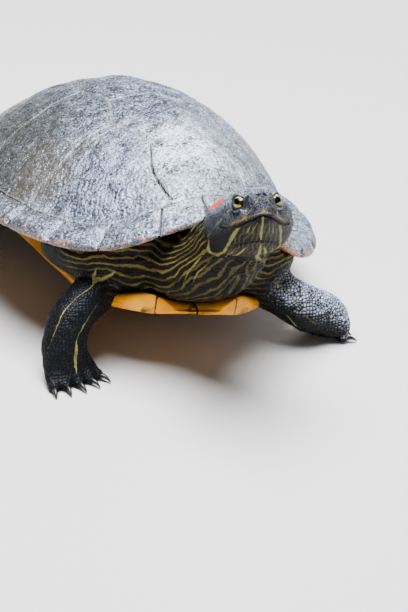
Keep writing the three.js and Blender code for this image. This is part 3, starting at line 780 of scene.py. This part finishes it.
# Eyelids: the skin dives under the edge of each eye and swells into a smooth lid round it.
eye_axis = unit(np.array([0.76, 0.58, 0.2]))
eye_along = unit(np.cross([0, 0, 1.0], eye_axis))
eye_upward = np.cross(eye_axis, eye_along)
lid_length, lid_height, lid_slant, lid_hang = 62.0, 51.0, 14.0, 11.0     # degrees round the eyeball
local = on_head(points)[0]
lid_crease, lid_rim = np.zeros(len(points)), np.zeros(len(points))
for mirror in (1, -1):
    offset = local * [mirror, 1, 1] - eye_place
    apart = np.linalg.norm(offset, axis=1)
    facing = offset / apart[:, None]
    tilt = np.degrees(np.arccos(np.clip(facing @ eye_axis, -1, 1)))
    turn_about = np.arctan2(facing @ eye_upward, facing @ eye_along) + np.radians(lid_slant)
    opening = lid_length * np.cos(turn_about) ** 2 + lid_height * np.sin(turn_about) ** 2
    past_edge = tilt - opening + lid_hang * smooth(0.2, 0.9, np.sin(turn_about))
    level = 3.3 + 1.55 * smooth(-4, 2, past_edge) + 0.55 * bell(past_edge - 7, 5.5)
    hold = smooth(36, 15, past_edge) * smooth(11, 8, apart)
    crease = bell(past_edge - 21, 3) + 0.6 * bell(past_edge - 31, 3)
    crease = crease * smooth(6.6, 5.2, apart)
    changed = eye_place + facing * (apart * (1 - hold) + level * hold - 0.3 * crease * (apart < 9))[:, None]
    here = (tilt < 110) & (apart < 11) & (local[:, 0] * mirror > 0)
    local = np.where(here[:, None], changed * [mirror, 1, 1], local)
    lid_crease = np.where(here, np.maximum(0.4 * crease, bell(past_edge + 1, 4)), lid_crease)
    lid_rim = np.where(here, bell(past_edge - 7, 4.5), lid_rim)
brow = (0.7 * bell(np.linalg.norm((local - [0, 10, 10.2]) * [0, 0.5, 1], axis=1), 2.0)
        * bell(np.abs(local[:, 0]) - 8, 3))
snout_dip = -0.35 * bell(local[:, 0], 3) * bell(local[:, 1] - 17, 6) * (local[:, 2] > 4)
local[:, 2] += brow + snout_dip
moved = in_head(local)
points = np.where((on_head(points)[1] < 1.6)[:, None], moved, points)
skin_tree = plant_tree(points)

# Mouth: a fine slit under a horny beak edge, folds on the throat, and two raised folds on the neck.
mouth = [[0, 27.2, -5.1], [2.2, 26.4, -5.6], [4.5, 24.3, -6.2], [6.5, 21.5, -6.4], [9, 16.4, -6.7],
         [11.7, 10.9, -6.3], [14.3, 6.2, -5.6], [15.8, 3.4, -4.6]]
throat_fold = [[-11.5, -4, -12.5], [-7, 3.5, -12.6], [0, 7.5, -12.2], [7, 3.5, -12.6], [11.5, -4, -12.5]]
neck_folds = [
    [[-10.4, -126.8, 77.7], [-11.4, -123.2, 72.3], [-13.1, -119.3, 65.7], [-13.9, -116.7, 59.1]],
    [[-7.6, -130, 77], [-8.7, -125.7, 70.7], [-10.3, -122.3, 66], [-11, -119.5, 59.2]],
]
mouth_lines = [surface_line(line, [0, 0]) for line in both_sides(mouth)]
fold_lines = [surface_line(np.array(line), [0.2, 0.44, 0.46, 0.2]) for line in neck_folds]
mouth_gap = -inside_lines(mouth_lines)
throat_gap = -inside_lines([surface_line(in_head(throat_fold), [0, 0])])
fold_inside = inside_lines(fold_lines)
skin_mesh.vertices.foreach_set("co", to_row(points).ravel())
skin_mesh.update()
normals = read(skin_mesh.vertices, "normal")
local, head_out = on_head(points)
mouth_level = np.interp(np.abs(local[:, 0]), [row[0] for row in mouth], [row[2] for row in mouth])
over_mouth = smooth(-0.5, 0.5, local[:, 2] - mouth_level)
beak = bell(mouth_gap - 1.0, 0.9)
nostril = np.linalg.norm(one_side(local) - [1.6, 27.0, 4.4], axis=1)
neck_place, neck_angle, neck_out, neck_reach = on_limb(points, *limbs["neck"])
on_neck = smooth(1.5, 1.15, neck_out) * (1 - smooth(1.2, 1.05, head_out) * smooth(-24, -16, local[:, 1]))
neck_angle = np.arctan2(np.sin(neck_angle), np.abs(np.cos(neck_angle)))      # from each flank
nape = smooth(0.1, 0.6, normals[:, 2]) * on_neck
round_neck = neck_angle * (neck_reach + (18 - neck_reach) * nape)
body = unplace_shell(points)
front_skin = smooth(-70, -84, body[:, 1]) * (1 - smooth(-24, -16, local[:, 1]) * smooth(1.4, 1.1, head_out))
on_leg = np.zeros(len(points))
for name in [name for name in limbs if "leg" in name or "foot" in name]:
    place, _, out, _ = on_limb(points, *limbs[name])
    weight = smooth(1.7, 1.2, out) * (smooth(0.05, 0.4, place) if "leg" in name else 1)
    on_leg = np.maximum(on_leg, weight)
loose = np.clip(on_neck + front_skin, 0, 1) * (1 - on_leg)
pleat_step, ring_step, neck_length = 7, 4.2, 62
pleats = np.sin(round_neck * 2 * np.pi / pleat_step + 1.6 * wavy(points, 24, 5, 21))
pleats *= 0.6 + 0.4 * wavy(points, 12, 4, 22)
rings = np.sin(neck_place * 2 * np.pi * neck_length / ring_step + 1.8 * wavy(points, 14, 5, 23))
rings *= 0.5 + 0.5 * wavy(points, 9, 4, 24)
lift = (0.35 * beak * over_mouth - 0.12 * beak * (1 - over_mouth) - 0.75 * bell(mouth_gap, 0.42)
        - 0.9 * bell(nostril, 0.75) - 0.5 * bell(throat_gap, 0.7) + 0.35 * bell(throat_gap - 1.8, 1.0)
        + 0.9 * smooth(-1.6, 0.3, fold_inside)
        + loose * (0.55 * pleats + 0.22 * rings) * smooth(0, 3, throat_gap)
        + 0.14 * on_leg * wavy(points, 7, 5, 25) + 0.08 * wavy(points, 5, 5, 26))
creased = np.clip(bell(mouth_gap, 0.4) + bell(nostril, 0.7) * 1.2 + 0.8 * bell(throat_gap, 0.8)
                  + 0.75 * lid_crease * (head_out < 1.7) + loose * np.clip(-pleats, 0, 1) * 0.5, 0, 1)
# Scales: low beads packed edge to edge, largest on the legs and finest at the throat.
bead = np.zeros(len(points))
beaded = smooth(1.25, 1.45, head_out) + smooth(-20, -28, local[:, 1])
beaded = np.clip(np.maximum(beaded, on_leg), 0, 1)
leg_bead, fine_bead = (1.9, 0.22), (1.4, 0.16)                    # width and height
for (size, height), chosen in ((leg_bead, on_leg > 0.5), (fine_bead, (on_leg <= 0.5) & (beaded > 0))):
    which = np.flatnonzero(chosen)
    cell = np.floor((points[which] + 0.3 * wavy(points[which], 5, 3, 41)[:, None]) / size)
    _, first = np.unique(cell, axis=0, return_index=True)
    tree = plant_tree(points[which[first]])
    nearest = [tree.find_n(point, 2) for point in points[which]]
    gap = np.array([farther[2] - nearer[2] for nearer, farther in nearest])
    bead[which] = smooth(0.0, 0.42 * size, gap)
    lift[which] += height * (bead[which] - 0.5) * beaded[which]
points = points + normals * (lift * smooth(0, 3, points[:, 2]))[:, None]
points[:, 2] = np.maximum(points[:, 2], 0)
skin_mesh.vertices.foreach_set("co", to_row(points).ravel())
skin_tree = plant_tree(points)

# Markings: yellow lines on the head, chin, neck and forelegs, and the red patch behind each eye.
head_marks = [
    ([[12.8, 11.2, 1.9], [15, 6.3, -1.1], [17.1, 0.4, -3.5], [18.6, -5.8, -5.4], [18.8, -13, -5.6],
     [17.8, -19.8, -6], [17.5, -23.5, -9], [15.8, -24.5, -12], [13.6, -22, -13], [12.4, -14, -13.4],
     [12.3, -6.3, -12.7], [11.1, 5.1, -10.3], [9.8, 12.1, -8.5], [8.8, 15.6, -7.6]],
     [0.25, 0.3, 0.3, 0.3, 0.45, 0.75, 0.9, 0.9, 0.85, 0.7, 0.8, 0.8, 0.6, 0.2]),
    ([[0.9, 26.8, 3.4], [3.2, 26.8, 0.7], [5.6, 24.9, -2.3], [8.2, 19.8, -5]], [0.1, 0.2, 0.3, 0.6]),
    ([[2.6, 24.5, -7.6], [3.6, 19, -9.6], [4.8, 11, -11.4]], [0.15, 0.3, 0.15]),
    ([[5.2, 21.5, -8], [5.8, 16, -9.8], [6.6, 9, -11.4]], [0.15, 0.35, 0.15]),
    ([[9.7, 13.6, -8.1], [11.4, 7, -9.4], [12.2, 1, -10.6]], [0.9, 0.5, 0.1]),
    ([[14.5, 12, -0.5], [16.2, 4.5, -2], [17.5, -1, -3.4]], [0.05, 0.2, 0.05]),
    ([[4, 0, -14], [6, -8, -15], [7.5, -18, -15.5]], [0.3, 0.8, 0.5]),
    ([[8.5, -1, -13.6], [9.5, -10, -14.6], [10.5, -20, -15]], [0.2, 0.5, 0.3]),
    ([[10, 4, 10.5], [12, -4, 10], [13, -14, 9.5], [12, -24, 8]], [0.15, 0.35, 0.4, 0.3]),
]
single_marks = [
    ([[-0.4, 26.9, -6.2], [-0.3, 24, -8.2], [-0.1, 20.9, -9.5], [0.4, 15, -11.2], [1.3, 9, -12.3]],
     [0.6, 0.65, 0.7, 0.7, 0.4]),
    ([[1.9, 5, -13], [2.6, -2, -14.6], [3.4, -10, -15.6], [4.5, -20, -15.8], [7.5, -30, -15]],
     [0.3, 0.7, 1.0, 1.1, 0.7]),
]
chain_marks = [
    ([[-47, -86.5, 45.1], [-51.3, -89.1, 43.2], [-56.5, -90.2, 40.5], [-62.1, -92.5, 36.9],
     [-65.4, -94, 33.8], [-68.9, -96.8, 27.6], [-71.9, -98.4, 20.6], [-73.2, -98.5, 14]],
     [0.6, 0.4, 0.3, 0.3, 0.35, 0.3, 0.2, 0.05]),
    ([[-48, -86.6, 45.3], [-46, -83.2, 48.5], [-45.9, -84.7, 52.2]], [0.7, 0.8, 0.5]),
    ([[-48, -86.6, 45.3], [-42.6, -85.1, 47.2], [-38.8, -90.3, 52.2]], [1.0, 1.1, 0.7]),
    ([[-47, -92.6, 38.1], [-52, -96.1, 33.4], [-56.5, -98.7, 28.3], [-59.5, -101, 23.4],
     [-59.9, -102.1, 17.4], [-60, -102.1, 12], [-59.7, -104.1, 7]], [0.1, 0.25, 0.3, 0.5, 1.1, 1.0, 0.3]),
    ([[46.8, -90.8, 37.6], [51.1, -92.9, 35.4], [55.6, -94.6, 31.9], [57.9, -96.9, 27.8], [61.3, -98, 22.9],
     [67, -98.1, 17.2], [74, -96, 13]], [0.7, 0.45, 0.3, 0.35, 0.3, 0.3, 0.05]),
    ([[52, -95, 22], [55.3, -95.3, 19.3], [59.6, -94.7, 13.9], [64, -95, 10]], [0.1, 0.4, 0.6, 0.1]),
]
limb_marks = [("hindleg_right", 0.3, 1.0, 1.9, 0.7), ("hindleg_right", 0.3, 1.0, -2.6, 0.6),
    ("hindleg_left", 0.3, 1.0, 1.2, 0.7), ("hindleg_left", 0.3, 1.0, -0.5, 0.6),
    ("hindfoot_right", 0.0, 0.8, 1.7, 0.7), ("hindfoot_left", 0.0, 0.8, 1.4, 0.7),
    ("foreleg_left", 0.4, 0.95, 1.4, 0.5), ("tail", 0.05, 0.95, 1.2, 0.6), ("tail", 0.05, 0.95, 1.95, 0.6),
    ("tail", 0.05, 0.95, -0.3, 0.5), ("tail", 0.05, 0.95, 3.4, 0.5)]
drawn = []
for line, width in head_marks:
    drawn += [surface_line(side, width) for side in both_sides(line)]
drawn += [surface_line(in_head(line), width) for line, width in single_marks]
drawn += [surface_line(np.array(line), width) for line, width in chain_marks]
for name, begin, end, angle, width in limb_marks:
    centre, _, across, other, a, b = limb_frame(*limbs[name], np.linspace(begin, end, 9))
    line = centre + across * (a * np.cos(angle))[:, None] + other * (b * np.sin(angle))[:, None]
    drawn.append(surface_line(line, [0.1, width, width, 0.1]))
stripe = np.maximum(inside_lines(drawn), fold_inside) - 0.12
red_patch = inside_lines([surface_line(side, [0.3, 1.5, 1.7, 1.2, 0.3]) for side in both_sides(
    [[13.4, 6.2, 6.4], [15.4, 2, 7], [17, -3.5, 6.8], [17.6, -8, 6], [17.2, -13, 5]])])
lip_band = inside_lines([surface_line(side, [0.4, 0.5, 0.9, 1.1, 0.8, 0.6, 0.3]) for side in both_sides(
    [[0, 27.2, -3.9], [3, 26, -4.2], [8, 19, -5], [10.6, 13.6, -5.2], [12.2, 9.5, -5.2], [14, 5.8, -4.9],
     [15.4, 3, -4.4]])] + [surface_line(in_head([[0, 27.4, -3.4], [0, 27.4, -1.6]]), [0.9, 0.2])]
    + [surface_line(side, [0.9, 1.5, 0.5]) for side in both_sides(
        [[6.6, 21.6, -5], [7.8, 19.8, -4.1], [8.6, 19, -3]])])
fold_centre = np.array([-20, -95, 95])                                     # skin gathers round this point
round_fold = np.linalg.norm(points - fold_centre, axis=1)
near_fold = smooth(38, 24, round_fold)
span = round_neck + 1.6 * wavy(points, 30, 5, 31)
gathered = wavy(points, 16, 4, 32) - round_fold
meeting = (near_fold > 0.3) & (near_fold < 0.7) & (on_neck + front_skin > 0.5) & (points[:, 0] < 0)
gathered += (span - gathered)[meeting].mean()
band_step, chin_step = 3.7, 2.3
band_phase = (span * (1 - near_fold) + gathered * near_fold) / band_step
band_amount = np.clip(loose * (1 - smooth(0.75, 1.0, on_skull)), 0, 1) * smooth(-6, -3, -fold_inside)
skull = smooth(skull_back, -18, local[:, 1]) * smooth(1.5, 1.2, head_out)
skin_mesh.update()
facing_up = read(skin_mesh.vertices, "normal")[:, 2]
# Painted sheen: the colour is lighter on the crown of the skull, the rim of each lid and the upward faces of
# the left foreleg.
crown = (0.25 + 0.75 * smooth(0.5, 6, local[:, 2] - 0.12 * local[:, 1])) * smooth(-9, -4, local[:, 2])
painted_sheen = np.clip(crown * skull * (0.35 + 0.65 * smooth(-20, -2, local[:, 1]))
                  + 0.8 * lid_rim * (head_out < 1.7)
                  + on_leg * smooth(-0.1, 0.45, facing_up) * smooth(38, 52, points[:, 0]), 0, 1)
chin = (skull * smooth(-6.5, -9, local[:, 2]) * smooth(12.5, 10, np.abs(local[:, 0]))
        * smooth(-20, -12, local[:, 1]))
band_phase = band_phase * (1 - chin) + chin * (local[:, 0] / chin_step + 0.12 * wavy(points, 9, 4, 33))
band_amount = np.maximum(band_amount * (1 - 0.4 * near_fold), 0.4 * chin)
# Painted shade: the bands and earth tone fade where the neck faces down, leaving its underside darker.
band_amount *= 1 - 0.5 * smooth(0.1, -0.6, facing_up) * on_neck
skin_fields = {"stripe": stripe, "red_patch": red_patch, "lip_band": lip_band, "band_phase": band_phase,
               "band_amount": band_amount, "bead": bead, "bead_amount": beaded, "creased": creased,
               "painted_sheen": painted_sheen}
for key, values in skin_fields.items():
    skin_mesh.attributes.new(key, "FLOAT", "POINT").data.foreach_set("value", values.astype(np.float32))

# Living reptile skin, dry: thin keratin over dark pigment. The colour follows the relief: painted highlight
# lightens the top of each bead of scale and painted shade leaves the folds between beads black, so blue-grey
# shows on top and black in the creases. Painted sheen lightens the crown, lid rims and left foreleg top.
turtle_skin, tree, shader = new_material("beaded_turtle_skin")
place = add(tree, "TexCoord").outputs["Object"]
field = {key: add(tree, "Attribute", attribute_name=key).outputs["Fac"] for key in skin_fields}
grit = add(tree, "TexNoise", {"Vector": place, "Scale": 1100, "Detail": 3, "Roughness": 0.6})       # 0.9 mm
blend_noise = add(tree, "TexNoise", {"Vector": place, "Scale": 230, "Detail": 3, "Roughness": 0.6})  # 4 mm
wander = add(tree, "TexNoise", {"Vector": place, "Scale": 95, "Detail": 3, "Roughness": 0.55})      # 10 mm
pore = add(tree, "TexVoronoi", {"Vector": place, "Scale": 1250, "Randomness": 0.9},
           feature="DISTANCE_TO_EDGE")                                                 # 0.8 mm grain
# Painted highlight and shade: lighter on the tops of beads and grain cells, black between them.
pore_top = add(tree, "MapRange", {"Value": pore, "From Max": 0.3})
relief = add(tree, "MixRGB", [field["bead_amount"], pore_top, field["bead"]])
light_up = add(tree, "Math", [relief, blend_noise], operation="MULTIPLY")
tone = add(tree, "MapRange", {"Value": light_up, "From Min": 0.05, "From Max": 0.62})
slate, sheen_slate, earth = (
    add(tree, "MixRGB", [tone, deep, top])
    for deep, top in (("#08090a", "#1c1e20"), ("#1e2227", "#c6ccd6"), ("#080604", "#231b0f")))
earth_on = add(tree, "Math", [field["band_amount"], 0.8], operation="MULTIPLY")
swing = add(tree, "Math", [wander, 9.0], operation="MULTIPLY")
turns = add(tree, "Math", [field["band_phase"], 2 * np.pi, swing], operation="MULTIPLY_ADD")
wave = add(tree, "Math", [turns], operation="SINE")
frayed = add(tree, "Math", [grit, 0.7, wave], operation="MULTIPLY_ADD")
band_edge = add(tree, "MapRange", {"Value": frayed, "From Min": 0.72, "From Max": 1.05})
band_on = add(tree, "Math", [band_edge, field["band_amount"]], operation="MULTIPLY")
olive = add(tree, "MixRGB", [blend_noise, "#4e4318", "#85763c"])
lip_tan = add(tree, "MixRGB", [wander, "#453c26", "#a87b38"])
coral = add(tree, "MixRGB", [grit, "#b23018", "#df6243"])
yellow = add(tree, "MixRGB", [grit, "#686335", "#98925a"])
edges_on = {}
for key, ragged, begin, full, most in (("lip_band", 1.6, 0.65, 1.35, 0.72), ("red_patch", 0.8, 0.3, 0.6, 1),
                                       ("stripe", 0.7, 0.2, 0.5, 1)):
    torn = add(tree, "Math", [blend_noise, ragged, field[key]], operation="MULTIPLY_ADD")
    edges_on[key] = add(tree, "MapRange", {"Value": torn, "From Min": begin, "From Max": full,
                                           "To Max": most})
shade = add(tree, "Math", [field["creased"], 0.92], operation="MULTIPLY")
colour = slate
for amount, tint in ((field["painted_sheen"], sheen_slate), (earth_on, earth), (band_on, olive),
                     (edges_on["lip_band"], lip_tan), (edges_on["red_patch"], coral),
                     (edges_on["stripe"], yellow), (shade, "#080705")):
    colour = add(tree, "MixRGB", [amount, colour, tint])
gloss = add(tree, "MapRange", {"Value": relief, "To Min": 0.62, "To Max": 0.4})
fine_bump = add(tree, "Bump", {"Height": grit, "Distance": 0.00025, "Strength": 0.5})
bead_bump = add(tree, "Bump", {"Height": relief, "Distance": 0.0002, "Strength": 0.6, "Normal": fine_bump})
wire(shader, {"Base Color": colour, "Roughness": gloss, "Normal": bead_bump, "IOR": 1.5,
              "Specular IOR Level": 0.2})

skin_mesh.shade_smooth()
skin_mesh.materials.clear()
skin_mesh.materials.append(turtle_skin)
skin = into_scene("skin", skin_mesh)
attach(skin, "root")
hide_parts("head", "trunk", *limbs)


# ---- eyes -----------------------------------------------------------------------------------
# Wet eyeballs sunk under the lids: a clear bulging cornea over a yellow-green iris, with a dark bar
# running through the round pupil along the line of the jaw.
eye_steps, eye_sides = 48, 72
tilt, about = np.meshgrid(np.linspace(0, np.pi, eye_steps),
                          np.linspace(0, 2 * np.pi, eye_sides, endpoint=False), indexing="ij")
bulge = 4.12 + 0.28 * bell(np.degrees(tilt), 32)
bar_turn = np.radians(18)

# Smooth wet tissue under a tear film, so a hard clear highlight sits over soft streaky colour.
iris_wet, tree, shader = new_material("wet_eye")
place = add(tree, "TexCoord").outputs["Object"]
bar, out = (add(tree, "Attribute", attribute_name=key).outputs["Fac"]
            for key in ("bar_height", "axis_angle"))
streak = add(tree, "TexNoise", {"Vector": place, "Scale": 1500, "Detail": 3})          # 0.7 mm streaks
wobble = add(tree, "Math", [streak, 0.5, bar], operation="MULTIPLY_ADD")
bar_dark = add(tree, "MapRange", {"Value": wobble, "From Min": 1.8, "From Max": 1.6})
pupil = add(tree, "MapRange", {"Value": out, "From Min": 15, "From Max": 12.5})
rim_dark = add(tree, "MapRange", {"Value": out, "From Min": 36, "From Max": 41})
colour = "#76741a"
for amount, tint in (streak, "#b8b048"), (bar_dark, "#0b0a06"), (pupil, "#030303"), (rim_dark, "#0d0b08"):
    colour = add(tree, "MixRGB", [amount, colour, tint])
wire(shader, {"Base Color": colour, "Roughness": 0.25, "IOR": 1.38, "Coat Weight": 0.12,
              "Coat Roughness": 0.02})

gaze = unit(np.array([0.55, 0.77, 0.16]))                          # the pupils look a little forward
gaze_along = unit(np.cross([0, 0, 1.0], gaze))
gaze_upward = np.cross(gaze, gaze_along)
for name, mirror in (("eye_left", 1), ("eye_right", -1)):
    rolled = about + bar_turn
    outward = (gaze * np.cos(tilt)[..., None] + gaze_along * (np.sin(tilt) * np.cos(about))[..., None]
               + gaze_upward * (np.sin(tilt) * np.sin(about))[..., None])
    ball = (eye_place + outward * bulge[..., None]) * [mirror, 1, 1]
    points, faces = loft(in_head(ball))
    piece = make_piece(name + "_ball", points, faces, iris_wet,
                       {"axis_angle": np.degrees(tilt).ravel(),
                        "bar_height": np.abs(eye_radius * np.sin(tilt) * np.sin(rolled)).ravel()})
    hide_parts(name)


# ---- claws ----------------------------------------------------------------------------------
# Five claws on each forefoot and four on each hind foot: curved cones of solid keratin that grow
# from the tip of each toe, nearly black at the root and worn paler at the point.
claw_length = 6.0
claw_steps, claw_sides = 26, 14
claw_stations = [(0.25, 2.85, 1.25), (0.6, 2.4, 0.85), (0.88, 1.3, 0.42), (1, 0.75, 0.16)]
claw_horn, tree, shader = new_material("dark_claw_keratin")
place = add(tree, "TexCoord").outputs["Object"]
out = add(tree, "Attribute", attribute_name="along_claw").outputs["Fac"]
grain = add(tree, "TexNoise", {"Vector": place, "Scale": 900, "Detail": 3})            # 1 mm grain
worn = add(tree, "Math", [grain, 0.4, out], operation="MULTIPLY_ADD")
fade = add(tree, "MapRange", {"Value": worn, "From Min": 0.5, "From Max": 1.3})
colour = add(tree, "MixRGB", [fade, "#191715", "#453c31"])
ridges = add(tree, "Bump", {"Height": grain, "Distance": 0.0002, "Strength": 0.4})
wire(shader, {"Base Color": colour, "Roughness": 0.35, "IOR": 1.55, "Normal": ridges})

for foot, frames in toes.items():
    claw_count = 5 if foot.startswith("fore") else 4
    for number, (start, out, reach) in enumerate(frames[:claw_count], 1):
        rows = [[*(start + out * (reach - 1.6))[:2], 2.6, 1.35, 1.35 * toe_flatness]]  # rooted in the toe
        for share, level, thick in claw_stations:
            rows.append([*(start + out * (reach + claw_length * share))[:2], level, thick,
                         thick * toe_flatness])
        rings = limb_rings(rows, np.cross(out, [0, 0, 1]), claw_steps, claw_sides)
        rings[..., 2] = np.maximum(rings[..., 2], 0.05)
        points, faces = loft(rings)
        claw = make_piece(f"{foot}_claw_{number}_horn", points, faces, claw_horn,
                          {"along_claw": np.repeat(np.linspace(0, 1, claw_steps), claw_sides)})
        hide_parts(f"{foot}_claw_{number}")


# ---- floor, lights and camera ---------------------------------------------------------------
# A pale seamless studio floor under a broad overhead softbox, a key, a fill and a low back light that
# skims the left side of the shell.
floor_half = 12                                                   # metres
floor_mesh = bpy.data.meshes.new("studio_floor")
corners = [(-floor_half, -floor_half, 0), (floor_half, -floor_half, 0), (floor_half, floor_half, 0),
           (-floor_half, floor_half, 0)]
floor_mesh.from_pydata(corners, [], [(0, 1, 2, 3)])
floor = into_scene("studio_floor", floor_mesh)
floor_paint, tree, shader = new_material("matt_floor_paint")
wire(shader, {"Base Color": "#c6c2ba", "Roughness": 0.85})
floor_mesh.materials.append(floor_paint)

world = bpy.data.worlds.new("studio_air")
world.use_nodes = True
wire(world.node_tree.nodes["Background"], {"Color": "#dfe4ea", "Strength": 0.12})
bpy.context.scene.world = world
bpy.context.scene.view_settings.look = "AgX - Medium High Contrast"

light_target = (0, 0, 0.05)
for name, position, size, power in [("overhead_softbox", (-0.12, -0.08, 1.4), 0.85, 78),
                                    ("key_softbox", (-0.85, -1.2, 0.55), 0.8, 3.4),
                                    ("fill_softbox", (1.2, -1.0, 0.9), 0.9, 1.3),
                                    ("back_softbox", (1.0, 0.75, 0.65), 0.7, 8)]:
    lamp = bpy.data.lights.new(name, "AREA")
    lamp.size = size
    lamp.energy = power
    lamp.color = srgb("#eef3ff")[:3]
    light = into_scene(name, lamp)
    light.location = position
    light.rotation_euler = (Vector(light_target) - light.location).to_track_quat("-Z", "Y").to_euler()

camera_place = np.array([-402.9, -960.9, 542.1])
camera_azimuth, camera_elevation, camera_roll = np.radians([-24.36, 26.23, 6.12])
focal_pixels, centre_pixel, frame_pixels = 2227.8, np.array([177.13, 231.2]), np.array([408, 612])
sensor_width = 36
camera_back = np.array([np.sin(camera_azimuth) * np.cos(camera_elevation),
                        -np.cos(camera_azimuth) * np.cos(camera_elevation), np.sin(camera_elevation)])
level_right = unit(np.cross(-camera_back, [0, 0, 1]))
level_up = np.cross(level_right, -camera_back)
camera_right = level_right * np.cos(camera_roll) + level_up * np.sin(camera_roll)
camera_up = level_up * np.cos(camera_roll) - level_right * np.sin(camera_roll)
off_centre = (frame_pixels / 2 - centre_pixel) / focal_pixels
camera_look = unit(-camera_back + camera_right * off_centre[0] - camera_up * off_centre[1])
camera_right = unit(camera_right - camera_look * (camera_right @ camera_look))
camera_up = np.cross(camera_right, camera_look)
lens = bpy.data.cameras.new("studio_camera")
lens.sensor_width = sensor_width
lens.sensor_fit = "AUTO"
lens.lens = focal_pixels / frame_pixels[1] * sensor_width
lens.clip_start, lens.clip_end = 0.05, 50
camera = into_scene("studio_camera", lens)
turned = Matrix(np.array([camera_right, camera_up, -camera_look]).T.tolist()).to_4x4()
turned.translation = to_row(camera_place).tolist()
camera.matrix_world = turned
bpy.context.scene.camera = camera
